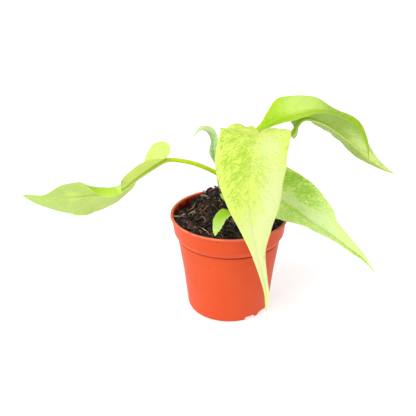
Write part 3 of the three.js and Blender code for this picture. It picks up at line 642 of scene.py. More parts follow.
def ring_faces(rows, sides, inward=False):
    """Faces between rows of rings, and round the two last corners, which close the first and last row."""
    faces = []
    for row in range(rows - 1):
        for k in range(sides):
            a, b = row * sides + k, row * sides + (k + 1) % sides
            faces.append((a, b, b + sides, a + sides))
    top = (rows - 1) * sides
    low, high = rows * sides, rows * sides + 1
    for k in range(sides):
        following = (k + 1) % sides
        faces.append((low, following, k))
        faces.append((high, top + k, top + following))
    return [face[:1] + face[:0:-1] for face in faces] if inward else faces


def shifted(faces, start):
    return [tuple(k + start for k in face) for face in faces]


def merged(blocks):
    """Corners, faces and tints of many small shapes as those of one mesh."""
    corners, faces, tints = [], [], []
    start = 0
    for block, block_faces, tint in blocks:
        corners.append(block)
        faces += shifted(block_faces, start)
        tints.append(np.full(len(block), tint))
        start += len(block)
    return np.vstack(corners), faces, np.concatenate(tints)


def tube(path, radii, sides):
    """Corners and faces of a closed round tube along a path."""
    path = np.asarray(path, float)
    along = unit(np.gradient(path, axis=0))
    corners = []
    side = np.cross(along[0], (0.3, 1.0, 0.1))
    for point, way, radius in zip(path, along, radii):
        side = unit(side - way * np.dot(side, way))
        other = np.cross(way, side)
        for angle in circle(sides):
            corners.append(point + radius * (math.cos(angle) * side + math.sin(angle) * other))
    corners += [path[0], path[-1]]
    return np.array(corners), ring_faces(len(path), sides)


def stalk_path(blade, design):
    """Stalk from the stem to the blade and on under the midrib, with its radii."""
    petiole = spline(design["petiole"])
    share = np.arange(STALK_STEPS) / STALK_STEPS
    points = point_on(petiole, petiole[0][-1] * np.arange(STALK_STEPS) / STALK_STEPS)
    swelling = design["swelling"] * np.exp(-((share - 0.97) / 0.05) ** 2)
    radii = STALK_RADIUS - STALK_TAPER * np.sqrt(share) + swelling
    share = np.linspace(0.0, 1.0, KEEL_STEPS)
    distance = blade.length * KEEL_SHARE * share
    spot, _, _ = blade.surface(distance, np.zeros(KEEL_STEPS))
    keel_radii = KEEL_TIP_RADIUS + KEEL_SWELL * (1 - share) ** KEEL_THINNING
    scale = design["scale"]
    keel = spot - blade.frames(distance)[2] * (keel_radii * scale + KEEL_DROP * scale)[:, None]
    path = np.vstack([points, keel])
    radius = np.concatenate([radii, keel_radii]) * scale
    low, high = STALK_STEPS - JOINT_STEPS, STALK_STEPS + JOINT_STEPS
    for _ in range(JOINT_PASSES):
        for line in (path, radius):
            line[low:high] = (line[low - 1:high - 1] + line[low:high] * 2 + line[low + 1:high + 1]) / 4
    return path, radius


def blade_relief(blade, distance, reach, share, vein):
    """Height of the skin between its side veins and in the groove over the midrib."""
    on_rib = (distance > 0) * (distance < RIB_SHARE * blade.length)
    groove = np.exp(-(reach / (GROOVE_HALF_WIDTH * blade.scale)) ** 2) * on_rib
    pucker = np.abs(np.sin(math.pi * vein / (VEIN_SPACING * blade.scale))) ** 0.8 - 0.6
    calm = smoothstep(reach, 1.0, 5.0) * (1 - smoothstep(share, 0.7, 1.0))
    return blade.scale * (PUCKER_HEIGHT * pucker * calm - GROOVE_DEPTH * groove)


def patches(rows, base, place, side):
    """A value over the blade, with soft patches of more or less of it."""
    field = np.full(len(place), float(base))
    for at, off, wide, far, strength in rows:
        field += strength * np.exp(-((place - at) / wide) ** 2 - ((side - off) / far) ** 2)
    return field


def make_leaf(node, design, seed):
    """One leaf: a thin closed blade with veins in relief, and its stalk."""
    blade = Blade(design, seed)
    along, across, lobes = design["grid"]
    plan, faces = blade_plan(blade, along, across, lobes)
    distance, width = plan[:, 0], plan[:, 1]
    spot, normal, share = blade.surface(distance, width)
    reach = np.abs(width)
    vein, length = vein_coordinates(distance, reach)
    count = len(plan)
    on_rim = np.zeros(count, bool)
    on_rim[rim_corners(faces)] = True
    inner = np.where(on_rim, 0.0, 1.0)
    relief = blade_relief(blade, distance, reach, share, vein) * inner
    thick = BLADE_HALF * inner * (0.55 + 0.45 * blade.scale)
    top = spot + normal * (relief + thick)[:, None]
    low = spot + normal * (relief - thick)[:, None]
    below = np.arange(count)
    below[~on_rim] = count + np.arange((~on_rim).sum())
    under = [tuple(below[k] for k in reversed(face)) for face in faces]
    path, radius = stalk_path(blade, design)
    stalk, stalk_faces = tube(path, radius, STALK_SIDES)
    corners = np.vstack([top, low[~on_rim], stalk])
    stalk_faces = shifted(stalk_faces, len(corners) - len(stalk))
    marks = [0] * len(faces) + [1] * len(under) + [2] * len(stalk_faces)
    name = node.replace("leaf_", "") + "_leaf"
    faces = faces + under + stalk_faces
    piece = make_object(name, corners, faces, leaf_materials(node, design, seed), marks)

    def mark(name, values, on_stalk):
        values = np.asarray(values, float)
        add_attribute(piece, name, np.concatenate([values, values[~on_rim], on_stalk]))

    place = np.where(distance < 0, distance / blade.lobe * 0.1, distance / blade.length)
    side = np.sign(width) * share
    blank = np.zeros(len(stalk))
    mark("vein", vein, blank)
    mark("reach", length, blank)
    mark("rib", reach, blank)
    mark("rim", 1 - inner, blank)
    mark("marble_and_painted_shade", patches(design["patches"], design["marble_and_painted_shade"], place, side), blank)
    mark("pale_wash_and_painted_light", patches(design["pale_wash_and_painted_light"], 0.0, place, side), blank)
    along_stalk = np.repeat(np.linspace(0, 1, len(path)), STALK_SIDES)
    mark("place", place, np.concatenate([along_stalk, [0, 1]]))
    for edge in piece.data.edges:
        edge.use_edge_sharp = all(k < count and bool(on_rim[k]) for k in edge.vertices)
    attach(piece, "root")
    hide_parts(node)


# Materials

class Field:
    """A number, place or colour that varies over a surface. Sums done with it become nodes."""

    def __init__(self, tree, kind, values=(), output=0, **settings):
        """What a new node gives, with its first sockets filled, or those that values names."""
        node = tree.nodes.new("ShaderNode" + kind)
        for name, setting in settings.items():
            setattr(node, name, setting)
        for key, value in values.items() if isinstance(values, dict) else enumerate(values):
            put(tree, node.inputs[key], value)
        self.tree = tree
        self.socket = node.outputs[output]

    def __add__(self, other):
        return calc("ADD", self, other)

    def __sub__(self, other):
        return calc("SUBTRACT", self, other)

    def __rsub__(self, other):
        return Field(self.tree, "Math", (other, self), operation="SUBTRACT")

    def __mul__(self, other):
        return calc("MULTIPLY", self, other)

    def step(self, low, high, start=0.0, end=1.0):
        """A soft step of it, from start at low to end at high."""
        return Field(self.tree, "MapRange", (self, low, high, start, end), interpolation_type="SMOOTHSTEP")


def put(tree, socket, value):
    """Links a socket to a field, or sets it to a plain value."""
    if isinstance(value, Field):
        tree.links.new(value.socket, socket)
    else:
        socket.default_value = value


def new_tree(name):
    material = bpy.data.materials.new(name)
    material.use_nodes = True
    material.node_tree.nodes.clear()
    return material, material.node_tree


def calc(operation, first, *others):
    return Field(first.tree, "Math", (first, *others), operation=operation)


def blend(share, first, second):
    """A colour between two, by a share that varies."""
    return Field(share.tree, "Mix", {0: share, 6: first, 7: second}, 2, data_type="RGBA")


def attribute(tree, name):
    return Field(tree, "Attribute", output="Fac", attribute_name=name)


def object_place(tree, scale=(1000.0, 1000.0, 1000.0)):
    """Place on the object, in millimetres unless scaled otherwise."""
    place = Field(tree, "TexCoord", output="Object")
    return Field(tree, "Mapping", {"Vector": place, "Scale": scale})


def cloud(place, scale, detail=3.0, roughness=0.5, distortion=0.0):
    values = {"Scale": scale, "Detail": detail, "Roughness": roughness, "Distortion": distortion}
    return Field(place.tree, "TexNoise", {"Vector": place, **values})


def vein_marks(across, along, stretch, seed, *grain):
    """Noise drawn out along the side veins."""
    place = Field(across.tree, "CombineXYZ", (across * stretch[0], along * stretch[1], seed))
    return cloud(place, *grain)


def finish_surface(tree, colour, roughness, relief=None, **fixed):
    """The material's shader. Its relief is a height, how deep that is in metres, and its strength."""
    values = {"Base Color": colour, "Roughness": roughness}
    if relief:
        height, depth, strength = relief
        values["Normal"] = Field(tree, "Bump", {"Height": height, "Distance": depth, "Strength": strength})
    for name, value in fixed.items():
        values[name.replace("_", " ")] = value
    out = tree.nodes.new("ShaderNodeOutputMaterial")
    put(tree, out.inputs["Surface"], Field(tree, "BsdfPrincipled", values))


def leaf_surface(name, light, dark, pale, rib, seed, contrast, roughness, veins, rib_reach, grain):
    """Marbled leaf skin, with flecks drawn out along the side veins, a paler midrib and margin."""
    material, tree = new_tree(name)
    vein = attribute(tree, "vein")
    reach = attribute(tree, "reach")
    place = object_place(tree)
    swayed = vein + (cloud(place, 0.12, 2.0) - 0.5) * VEIN_SWAY
    streaks = vein_marks(swayed, reach, STREAKS, seed, grain, 5.0, 0.6, 0.15)
    threads = vein_marks(swayed, reach, THREADS, seed + 9, grain, 3.0, 0.6, 0.1)
    blots = vein_marks(vein, reach, BLOTS, seed + 4, 1.0, 3.0)
    level = streaks * 0.42 + threads * 0.58 + (blots - 0.5) * 0.35
    # The marbling amount also carries painted shade and painted light, from rows in a leaf's table
    over = level - (MARBLE_START - attribute(tree, "marble_and_painted_shade") * MARBLE_REACH)
    mottle = over.step(-0.045, 0.075) * contrast
    colour = blend(mottle, light, dark)
    # The wash is partly the leaf's pale variegation and partly painted light and shade, from rows in a leaf's
    # table
    wash = attribute(tree, "pale_wash_and_painted_light") + (blots - 0.5) * 0.9 + (streaks - 0.5) * 0.8
    colour = blend(wash.step(0.05, 0.65) * (1.0 - mottle * 0.55), colour, pale)
    line = calc("PINGPONG", swayed, VEIN_SPACING / 2).step(0.0, 0.7, veins, 0.0)
    colour = blend(line, colour, rib)
    colour = blend(attribute(tree, "rib").step(0.3, rib_reach, 0.4, 0.0), colour, rib)
    colour = blend(attribute(tree, "rim").step(0.35, 1.0, 0.0, 0.8), colour, pale)
    height = threads * 0.6 + cloud(place, 2.6, 2.0) * 0.4 - line * 0.6
    finish_surface(
        tree, colour, streaks.step(0.3, 0.7, roughness - 0.05, roughness + 0.06), (height, 0.00018, 0.6),
        Subsurface_Weight=0.22, Subsurface_Radius=(0.6, 1.0, 0.25), Subsurface_Scale=0.0012,
        Specular_IOR_Level=0.2,
    )
    return material


def stalk_surface(name, top, foot, keel):
    """Petiole skin, deeper green at its foot and paler where it runs on under the blade."""
    material, tree = new_tree(name)
    place = attribute(tree, "place")
    streaks = cloud(object_place(tree, (900.0, 900.0, 120.0)), 0.8, 4.0, 0.6)
    colour = blend(place.step(0.0, 0.25), foot, top)
    colour = blend(streaks.step(0.4, 0.7, 0.0, 0.35), colour, foot)
    colour = blend(place.step(0.4, 0.62), colour, keel)
    finish_surface(
        tree, colour, streaks.step(0.3, 0.7, 0.36, 0.46), (streaks, 0.0002, 0.5),
        Subsurface_Weight=0.15, Subsurface_Radius=(0.6, 1.0, 0.25), Subsurface_Scale=0.0015,
        Specular_IOR_Level=0.35,
    )
    return material


def mixed(first, second, share):
    return tuple(a + (b - a) * share for a, b in zip(first, second))


def leaf_materials(node, design, seed):
    """The skins of a leaf's face, its underside and its stalk."""
    light, dark, pale, under = (srgb(*design[key]) for key in ("light", "dark", "pale", "under"))
    under_pale = srgb(*design["under_pale"]) if "under_pale" in design else mixed(under, pale, 0.5)
    stalk = srgb(*design["stalk"]) if "stalk" in design else mixed(light, dark, 0.55)
    upper = leaf_surface(
        node + "_face", light, dark, pale, mixed(pale, light, 0.35), seed,
        contrast=design["contrast"], roughness=0.42, veins=0.12, rib_reach=1.2, grain=design["grain"],
    )
    lower = leaf_surface(
        node + "_back", under, mixed(under, dark, 0.45), under_pale, mixed(under, pale, 0.8), seed + 50,
        contrast=0.5, roughness=0.52, veins=0.16, rib_reach=3.4, grain=design["grain"],
    )
    keel = mixed(under, pale, 0.7)
    return upper, lower, stalk_surface(node + "_stalk", stalk, mixed(stalk, dark, 0.6), keel)


def plastic():
    """Satin terracotta-coloured plastic with faint moulding marks, scuffs and a worn lip, and painted shade
    under the step and inside the wall.
    """
    material, tree = new_tree("pot_plastic")
    place = object_place(tree)
    x, y, height = (Field(tree, "SeparateXYZ", (place,), part) for part in range(3))
    radius = calc("SQRT", x * x + y * y)
    slope = (COLLAR_TOP_RADIUS - COLLAR_FOOT_RADIUS) / (POT_HEIGHT - COLLAR_FOOT)
    outward = radius - (height - COLLAR_FOOT) * slope
    within = outward.step(COLLAR_FOOT_RADIUS - WALL, COLLAR_FOOT_RADIUS - WALL / 2, 1.0, 0.0)
    inside = height.step(COLLAR_FOOT, COLLAR_FOOT + 3.0) * within
    broad = cloud(place, 0.03, 3.0)
    fine = cloud(place, 0.9, 5.0, 0.65)
    patchy = cloud(place, 0.14, 4.0, 0.6)
    scuffs = cloud(object_place(tree, (260.0, 260.0, 1400.0)), 0.5, 4.0, 0.7)
    specks = Field(tree, "TexVoronoi", {"Vector": place, "Scale": 0.075}, "Distance")
    colour = blend(broad.step(0.3, 0.7, 0.0, 0.5), POT_RED, POT_LIGHT)
    colour = blend(fine.step(0.55, 0.8, 0.0, 0.25), colour, POT_DEEP)
    colour = blend(specks.step(0.03, 0.06, 0.85, 0.0), colour, POT_SPECK)
    # Painted shade: a dark band, broken by patchy noise, under the collar's step where its overhang shades
    # the body
    under_step = calc("ABSOLUTE", height - (STEP_FOOT - 0.6))
    colour = blend(under_step.step(0.4, 1.3, 0.75, 0.0) * patchy.step(0.2, 0.5, 0.5, 1.0), colour, POT_STEP_SHADE)
    colour = blend(height.step(0.5, 5.0, 0.5, 0.0) * patchy.step(0.4, 0.65), colour, POT_FOOT)
    lip = height.step(POT_HEIGHT - 1.6, POT_HEIGHT - 0.3, 0.0, 0.6)
    colour = blend(lip * patchy.step(0.3, 0.6, 0.4, 1.0), colour, POT_LIP)
    # Painted shade: the inside of the wall is a darker red, as if shaded
    colour = blend(inside * 0.85, colour, POT_INSIDE_SHADE)
    soiled = patchy + fine * 0.6 - (height - DIRT_LINE) * 0.05
    colour = blend(inside * soiled.step(0.54, 0.74, 0.0, 0.9), colour, POT_SOILED)
    colour = blend(scuffs.step(0.66, 0.74, 0.0, 0.35) * broad.step(0.45, 0.6), colour, POT_SCRATCH)
    rough = scuffs.step(0.4, 0.75, 0.4, 0.52) + fine.step(0.4, 0.8, 0.0, 0.08)
    finish_surface(
        tree, colour, rough, (fine * 0.4 + scuffs * 0.6, 0.00006, 0.5),
        Specular_IOR_Level=0.18, Subsurface_Weight=0.05, Subsurface_Radius=(1.0, 0.3, 0.15),
        Subsurface_Scale=0.002,
    )
    return material


def earth(name, dark, brown, pale):
    """Peat, from near black to brown, told apart by each crumb's tint, with grey flecks painted as the glints
    of moist peat.
    """
    material, tree = new_tree(name)
    place = object_place(tree)
    coarse = cloud(place, 0.16, 5.0, 0.6)
    fine = cloud(place, 1.3, 6.0, 0.7)
    colour = blend(coarse.step(0.4, 0.7, 0.0, 0.6), dark, brown)
    colour = blend(attribute(tree, "tint").step(0.2, 1.0, 0.0, 0.85), colour, brown)
    # Painted highlight: grey flecks stand in for the glints of moist peat
    colour = blend(fine.step(0.55, 0.7, 0.0, 0.6), colour, pale)
    rough = fine.step(0.3, 0.7, 0.55, 0.9)
    finish_surface(tree, colour, rough, (fine, 0.0006, 0.8), Specular_IOR_Level=0.4)
    return material


def fibre():
    """Dry coco fibre, in two hues, dark where a thread's tint is low."""
    material, tree = new_tree("coco_fibre")
    place = object_place(tree)
    streak = cloud(place, 0.8, 4.0, 0.6)
    bright = blend(cloud(place, 0.07, 2.0).step(0.42, 0.62), FIBRE_RED, FIBRE_PALE)
    colour = blend(attribute(tree, "tint").step(0.0, 1.0), FIBRE_DARK, bright)
    colour = blend(streak.step(0.4, 0.7, 0.0, 0.5), colour, FIBRE_DIRT)
    rough = streak.step(0.3, 0.7, 0.6, 0.85)
    finish_surface(tree, colour, rough, (streak, 0.0002, 0.6), Specular_IOR_Level=0.35)
    return material


def stem_skin():
    """Green bark, brown at the ring scars and near the soil."""
    material, tree = new_tree("stem_skin")
    blots = cloud(object_place(tree), 0.12, 4.0, 0.6)
    lengthwise = cloud(object_place(tree, (900.0, 900.0, 160.0)), 0.7, 4.0, 0.6)
    colour = blend(blots.step(0.35, 0.7), STEM_GREEN, STEM_DEEP)
    colour = blend(lengthwise.step(0.45, 0.75, 0.0, 0.5), colour, STEM_PALE)
    rings = attribute(tree, "tint") + (blots - 0.5) * 0.5
    colour = blend(rings.step(0.45, 0.8, 0.0, 0.85), colour, STEM_SCAR)
    finish_surface(tree, colour, blots.step(0.3, 0.7, 0.5, 0.7), (lengthwise, 0.0004, 0.7))
    return material


# Pot

def rounded(profile, radius, steps=4):
    """A profile with its corners eased by short curves."""
    points = [np.array(point, float) for point in profile]
    out = [points[0]]
    for before, corner, after in zip(points, points[1:], points[2:]):
        span_in, span_out = np.linalg.norm(before - corner), np.linalg.norm(after - corner)
        start = corner + (before - corner) * min(radius / span_in, 0.4)
        end = corner + (after - corner) * min(radius / span_out, 0.4)
        for t in np.linspace(0, 1, steps):
            out.append((1 - t) ** 2 * start + 2 * t * (1 - t) * corner + t ** 2 * end)
    out.append(points[-1])
    return out


def lathe(profile, sides):
    """Corners and faces of a turned shape whose profile starts and ends on the axis."""
    corners = []
    for radius, height in profile[1:-1]:
        corners += [(*polar(radius, angle), height) for angle in circle(sides)]
    corners += [(0, 0, profile[0][1]), (0, 0, profile[-1][1])]
    return np.array(corners, float), ring_faces(len(profile) - 2, sides)


def make_pot():
    profile = [
        (0, 0),
        (CENTRE_PAD_RADIUS, 0),
        (CENTRE_PAD_RADIUS + 1, FLOOR_UNDERSIDE),
        (FOOT_RING_INNER_RADIUS, FLOOR_UNDERSIDE),
        (FOOT_RING_INNER_RADIUS, 2.0),
        (FOOT_RING_INNER_RADIUS, 0),
        (BASE_RADIUS - 1.4, 0),
        (BASE_RADIUS, 0.7),
        (BASE_RADIUS + 1.1, 3),
        (BASE_RADIUS + 1.5, NOTCH_HEIGHT + 0.3),
        (BODY_LOW_RADIUS, BODY_LOW),
        (BODY_MID_RADIUS, BODY_MID),
        (BODY_TOP_RADIUS, STEP_FOOT - 1.9),
        (BODY_TOP_RADIUS - 0.8, STEP_FOOT - 1.2),
        (BODY_TOP_RADIUS - 0.8, STEP_FOOT - 0.3),
        (STEP_RADIUS, STEP_FOOT),
        (STEP_RADIUS + 0.6, STEP_FOOT + 1.6),
        (COLLAR_FOOT_RADIUS, COLLAR_FOOT - 1),
        (COLLAR_FOOT_RADIUS + 0.2, COLLAR_FOOT + 1),
        (COLLAR_TOP_RADIUS, POT_HEIGHT - LIP_HEIGHT - 0.8),
        (RIM_RADIUS - 0.2, POT_HEIGHT - LIP_HEIGHT),
        (RIM_RADIUS, POT_HEIGHT - 0.9),
        (RIM_RADIUS - 0.7, POT_HEIGHT),
        (COLLAR_TOP_RADIUS - 0.6, POT_HEIGHT),
        (COLLAR_TOP_RADIUS - WALL, POT_HEIGHT - 1.4),
        (COLLAR_FOOT_RADIUS - WALL, COLLAR_FOOT - 0.4),
        (BODY_TOP_RADIUS - WALL, STEP_FOOT - 1),
        (BODY_MID_RADIUS - WALL, BODY_MID),
        (BODY_LOW_RADIUS - WALL, BODY_LOW),
        (BODY_LOW_RADIUS - WALL - 2.2, FLOOR_TOP),
        (0, FLOOR_TOP),
    ]
    corners, faces = lathe(rounded(profile, 0.7), POT_SIDES)
    radius = np.hypot(corners[:, 0], corners[:, 1])
    angle = np.degrees(np.arctan2(corners[:, 1], corners[:, 0]))
    lift = np.zeros(len(corners))
    half = math.degrees(NOTCH_HALF_WIDTH / BASE_RADIUS)
    for centre in NOTCH_ANGLES:
        gap = np.abs((angle - (centre - 90) + 180) % 360 - 180)
        lift = np.maximum(lift, NOTCH_HEIGHT * (1 - smoothstep(gap, half - 0.8, half + 0.8)))
    height = corners[:, 2]
    cut = (radius > FOOT_RING_INNER_RADIUS - 1.2) & (height < NOTCH_HEIGHT)
    corners[:, 2] = np.where(cut, np.maximum(height, lift), height)
    piece = make_object("nursery_pot", corners, faces, [plastic()])
    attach(piece, "root")
    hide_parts("pot")


# Soil

def bulge(x, y, place, spread):
    return np.exp(-(np.hypot(x - place[0], y - place[1]) / spread) ** 2)


def soil_height(x, y):
    """Lumpy level of the soil without its crumbs."""
    heap = SOIL_HEAP * bulge(x, y, SOIL_HEAP_PLACE, SOIL_HEAP_SPREAD)
    heap += SOIL_BANK * bulge(x, y, SOIL_BANK_PLACE, SOIL_BANK_SPREAD)
    hollow = SOIL_HOLLOW * bulge(x, y, SOIL_HOLLOW_PLACE, SOIL_HOLLOW_SPREAD)
    broad = np.sin(x / 6.1 + 1.2) * np.cos(y / 5.3)
    fine = np.sin(x / 2.7 - y / 4.1) * np.sin(y / 3.1 + 0.6)
    return SOIL_LEVEL + heap - hollow + SOIL_LUMP * (broad + 0.6 * fine)


def clods(x, y, size, level):
    """Packed lumps of one size, near 1 on top and 0 in the cracks between them."""
    near = noise.voronoi(Vector((x / size, y / size, level)))[0]
    return min((near[1] - near[0]) * CLOD_EDGE, 1.0)


def rough_height(x, y):
    """The soil's level with clods and grains."""
    level = float(soil_height(x, y))
    swell = noise.fractal(Vector((x * 0.11, y * 0.11, 3.0)), 0.7, 2.1, 3)
    bend = 2.0 * noise.noise(Vector((x * 0.2, y * 0.2, 9.0)))
    lumps = 2.0 * clods(x + bend, y - bend, CLOD_SIZE, 0.4)
    lumps += clods(x - bend, y, SMALL_CLOD_SIZE, 4.6)
    grains = noise.noise(Vector((x * 1.1, y * 1.1, 8.0)))
    return level - 1.6 + 1.2 * swell + lumps + 0.4 * grains


def wall_radius(height):
    """Inside of the pot at a height."""
    share = (height - COLLAR_FOOT) / (POT_HEIGHT - 1.4 - COLLAR_FOOT)
    return COLLAR_FOOT_RADIUS - WALL + (COLLAR_TOP_RADIUS - COLLAR_FOOT_RADIUS) * min(share, 1.0)


def make_soil():
    """The peat's clods and grains, closed by a plain underside."""
    angles = circle(SOIL_SIDES)
    edge = []
    for angle in angles:
        level = rough_height(*polar(SOIL_RIM, angle))
        edge.append(wall_radius(min(level, POT_HEIGHT)) - SOIL_GAP)
    corners = []
    for row in range(1, SOIL_RINGS + 1):
        for reach, angle in zip(edge, angles):
            x, y = polar(reach * row / SOIL_RINGS, angle)
            corners.append((x, y, rough_height(x, y)))
    radius = BODY_TOP_RADIUS - WALL - 1.0
    for level in (STEP_FOOT + 3.0, SOIL_FOOT):
        corners += [(*polar(radius, angle), level) for angle in angles]
    corners += [(0, 0, rough_height(0, 0)), (0, 0, SOIL_FOOT)]
    draw = np.random.default_rng(SEED)
    tint = 0.35 * draw.uniform(0, 1, len(corners)) ** 2
    faces = ring_faces(SOIL_RINGS + 2, SOIL_SIDES, inward=True)
    piece = make_object("peat", corners, faces, [earth("peat_dark", *PEAT_COLOURS)])
    add_attribute(piece, "tint", tint)
    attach(piece, "root")
    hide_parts("soil")


def scatter_place(draw):
    """A place on the soil, away from the stem."""
    while True:
        radius = SCATTER_REACH * math.sqrt(draw.uniform())
        x, y = polar(radius, draw.uniform(0, 2 * math.pi))
        if math.hypot(x - STEM_PLACE[0], y - STEM_PLACE[1]) > STEM_RADIUS + 1.5:
            return x, y


def round_ball():
    """Corners and faces of a small ball with twenty sides, each split in four."""
    ball = bmesh.new()
    bmesh.ops.create_icosphere(ball, subdivisions=2, radius=1.0)
    corners = np.array([tuple(v.co) for v in ball.verts])
    faces = [tuple(v.index for v in face.verts) for face in ball.faces]
    ball.free()
    return corners, faces


def make_crumbs():
    """Loose crumbs of peat and bark on the soil, in one piece."""
    draw = np.random.default_rng(SEED + 1)
    ball, ball_faces = round_ball()
    crumbs = []
    for _ in range(CRUMB_COUNT):
        x, y = scatter_place(draw)
        size = CRUMB_LEAST_SIZE + CRUMB_SIZE_SPAN * draw.uniform() ** 2.4
        stretch = size * np.array([draw.uniform(*span) for span in CRUMB_STRETCH])
        warp = np.array([noise.noise(Vector(c * 1.9) + Vector((x, y, size))) for c in ball])
        shape = ball * (1 + CRUMB_WARP * warp)[:, None] * stretch
        spin = Matrix.Rotation(draw.uniform(0, 6.3), 3, "Z")
        turn = np.array(spin @ Matrix.Rotation(draw.uniform(-0.9, 0.9), 3, "Y"))
        spot = np.array([x, y, rough_height(x, y) + 0.3 * size])
        crumbs.append((shape @ turn.T + spot, ball_faces, draw.uniform() ** 3))
    corners, faces, tints = merged(crumbs)
    piece = make_object("peat_crumbs", corners, faces, [earth("peat_crumb", *CRUMB_COLOURS)])
    add_attribute(piece, "tint", tints)
    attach(piece, "root")


# Threads laid one by one: ends, height over the soil at the ends and between, bow sideways, radius, tint
LAID_THREADS = (
    ((-28.5, 50.5), (-26.0, 42.0), 0.6, 1.6, 0.8, 0.5, 0.95),
    ((-31.0, 41.0), (-22.5, 35.0), 0.6, 1.2, -0.6, 0.5, 0.9),
    ((-12.0, 49.0), (-22.0, 40.0), 0.5, 2.4, 2.5, 0.42, 0.7),
    ((-57.6, -10.0), (-44.0, -4.0), 1.3, 1.0, 1.0, 0.4, 0.9),
    ((-55.0, -14.0), (-46.0, -10.0), 1.0, 1.5, -1.5, 0.32, 0.8),
    ((-41.0, -7.0), (-33.5, 8.0), 0.6, 1.6, 1.5, 0.4, 1.0),
    ((-46.0, 18.0), (-36.0, 30.0), 0.5, 2.2, -2.5, 0.45, 0.75),
    ((-40.0, 5.0), (-28.0, 14.0), 0.5, 2.0, 2.5, 0.4, 0.85),
    ((-30.0, -27.0), (-19.0, -42.0), 0.5, 1.5, 1.8, 0.34, 0.9),
    ((-24.0, -18.0), (-30.0, -6.0), 0.4, 2.6, -2.5, 0.36, 0.6),
    ((-16.0, 18.0), (-27.0, 10.0), 0.5, 2.2, -2.0, 0.4, 0.7),
    ((30.0, -30.0), (18.0, -38.0), 0.4, 1.8, 2.0, 0.34, 0.6),
)


def thread_path(start, end, ends, middle, bow, steps=15):
    """A bowed line over the soil between two places."""
    start, end = np.array(start), np.array(end)
    across = np.array([start[1] - end[1], end[0] - start[0]]) / np.linalg.norm(end - start)
    path = []
    for share in np.linspace(0, 1, steps):
        arch = math.sin(math.pi * share)
        x, y = start + (end - start) * share + across * bow * arch
        path.append((x, y, float(soil_height(x, y)) + 0.6 + ends + (middle - ends) * arch))
    return np.array(path)


def fibre_path(draw):
    """A wandering line over the soil from a place drawn at random."""
    x, y = scatter_place(draw)
    length = FIBRE_LEAST_LENGTH + FIBRE_LENGTH_SPAN * draw.uniform() ** 1.5
    heading = draw.uniform(0, 2 * math.pi)
    curve = draw.normal(0, FIBRE_CURVE)
    lift = draw.uniform(0.0, FIBRE_LIFT) ** 1.5
    path = []
    for k in range(FIBRE_STEPS):
        rise = lift * math.sin(math.pi * k / (FIBRE_STEPS - 1))
        path.append((x, y, rough_height(x, y) + 0.1 + rise))
        heading += curve * length / FIBRE_STEPS
        x += math.cos(heading) * length / FIBRE_STEPS
        y += math.sin(heading) * length / FIBRE_STEPS
    return np.array(path)


def tapered(path, thick, thinning):
    """Radii along a thread that thins towards both ends."""
    return thick * (1 - thinning * np.abs(np.linspace(-1, 1, len(path))) ** 3)


def make_fibres():
    """Coco fibres and root threads lying in and on the soil, in one piece."""
    draw = np.random.default_rng(SEED + 2)
    threads = []
    for _ in range(FIBRE_COUNT):
        path = fibre_path(draw)
        thick = FIBRE_LEAST_RADIUS + FIBRE_RADIUS_SPAN * draw.uniform() ** 1.5
        tint = draw.uniform() ** 1.8
        from_stem = np.hypot(path[:, 0] - STEM_PLACE[0], path[:, 1] - STEM_PLACE[1]).min()
        if np.hypot(path[:, 0], path[:, 1]).max() > FIBRE_REACH or from_stem < STEM_RADIUS + 0.5:
            continue
        path[1:-1, 2] = (path[:-2, 2] + path[1:-1, 2] + path[2:, 2]) / 3
        threads.append((*tube(path, tapered(path, thick, 0.6), FIBRE_SIDES), tint))
    for start, end, ends, middle, bow, thick, tint in LAID_THREADS:
        path = thread_path(start, end, ends, middle, bow)
        threads.append((*tube(path, tapered(path, thick, 0.5), LAID_THREAD_SIDES), tint))
    corners, faces, tints = merged(threads)
    piece = make_object("coco_fibres", corners, faces, [fibre()])
    add_attribute(piece, "tint", tints)
    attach(piece, "root")


# Stem

def make_stem():
    """Short stem with ring scars, darker towards the soil."""
    corners = []
    tints = []
    top = STEM_TOP - 0.2
    for row in range(STEM_RINGS):
        share = row / (STEM_RINGS - 1)
        height = STEM_FOOT + (top - STEM_FOOT) * share
        dome = math.sqrt(max(1 - max((share - 0.5) / 0.5, 0) ** 2.4, 0.004))
        for angle in circle(STEM_SIDES):
            way = Vector((*polar(2.2, angle), height * 0.2))
            from_scar = (height + 0.6 * math.sin(angle * 2)) % SCAR_SPACING - SCAR_SPACING / 2
            scar = math.exp(-(from_scar / SCAR_HALF_WIDTH) ** 2)
            radius = (STEM_RADIUS - 0.5) * dome * (1 + 0.06 * noise.noise(way)) + SCAR_HEIGHT * scar * dome
            x, y = polar(radius, angle)
            corners.append((STEM_PLACE[0] + x, STEM_PLACE[1] + y, height))
            tints.append(0.55 * scar + 0.6 * (1 - smoothstep(height, *STEM_STAIN)))
    corners += [(*STEM_PLACE, STEM_FOOT), (*STEM_PLACE, top + 0.1)]
    tints += [1.0, 0.0]
    piece = make_object("short_stem", corners, ring_faces(STEM_RINGS, STEM_SIDES), [stem_skin()])
    add_attribute(piece, "tint", tints)
    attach(piece, "root")
    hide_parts("stem")


# Camera, light and floor

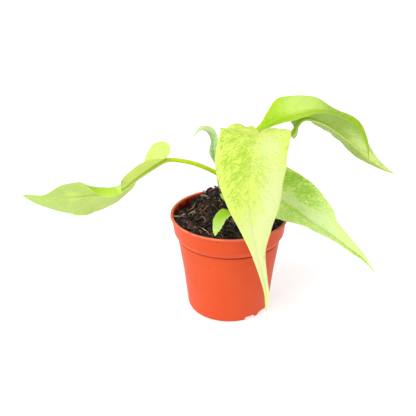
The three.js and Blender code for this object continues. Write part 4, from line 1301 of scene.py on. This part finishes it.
def make_camera():
    pitch, yaw, roll = CAMERA_PITCH, CAMERA_YAW, CAMERA_ROLL
    ahead = Vector((math.sin(yaw) * math.cos(pitch), math.cos(yaw) * math.cos(pitch), -math.sin(pitch)))
    level = Vector((math.cos(yaw), -math.sin(yaw), 0.0))
    over = level.cross(ahead)
    right = level * math.cos(roll) + over * math.sin(roll)
    up = over * math.cos(roll) - level * math.sin(roll)
    data = bpy.data.cameras.new("camera")
    data.lens = CAMERA_LENS
    data.sensor_width = 36.0
    data.clip_end = 50.0
    camera = bpy.data.objects.new("camera", data)
    turn = Matrix((right, up, -ahead)).transposed().to_4x4()
    camera.matrix_world = Matrix.Translation(CAMERA_PLACE) @ turn
    bpy.context.scene.collection.objects.link(camera)
    bpy.context.scene.camera = camera


def make_sun(name, way, strength, spread):
    data = bpy.data.lights.new(name, "SUN")
    data.energy = strength
    data.angle = math.radians(spread)
    sun = bpy.data.objects.new(name, data)
    sun.rotation_euler = Vector(way).to_track_quat("Z", "Y").to_euler()
    bpy.context.scene.collection.objects.link(sun)


def make_world(strength):
    """White surroundings, dimmer as a light than they look."""
    world = bpy.data.worlds.new("studio")
    world.use_nodes = True
    tree = world.node_tree
    tree.nodes.clear()
    light = Field(tree, "Background", {"Color": WHITE, "Strength": strength})
    seen = Field(tree, "Background", {"Color": WHITE})
    ray = Field(tree, "LightPath", output="Is Camera Ray")
    out = tree.nodes.new("ShaderNodeOutputWorld")
    put(tree, out.inputs["Surface"], Field(tree, "MixShader", (ray, light, seen)))
    bpy.context.scene.world = world


def make_floor():
    material, tree = new_tree("floor_white")
    grain = cloud(object_place(tree), 0.02, 2.0)
    colour = blend(grain.step(0.3, 0.7), (0.48, 0.48, 0.48, 1), (0.5, 0.5, 0.5, 1))
    finish_surface(tree, colour, 0.9, Emission_Color=WHITE, Emission_Strength=FLOOR_GLOW)
    corners = [(x * FLOOR_HALF, y * FLOOR_HALF, FLOOR_LEVEL) for x, y in ((-1, -1), (1, -1), (1, 1), (-1, 1))]
    floor = make_object("floor", corners, [(0, 1, 2, 3)], [material], smooth=False)


for index, (node, design) in enumerate(LEAVES.items()):
    make_leaf(node, design, SEED + 10 * index)
make_pot()
make_soil()
make_crumbs()
make_fibres()
make_stem()
make_floor()
make_camera()
make_sun("key", way=(-0.75, -0.6, 0.8), strength=2.0, spread=45)
make_sun("top", way=(0.3, -0.2, 1.0), strength=0.9, spread=30)
make_world(strength=0.42)
bpy.context.scene.view_settings.view_transform = "Standard"
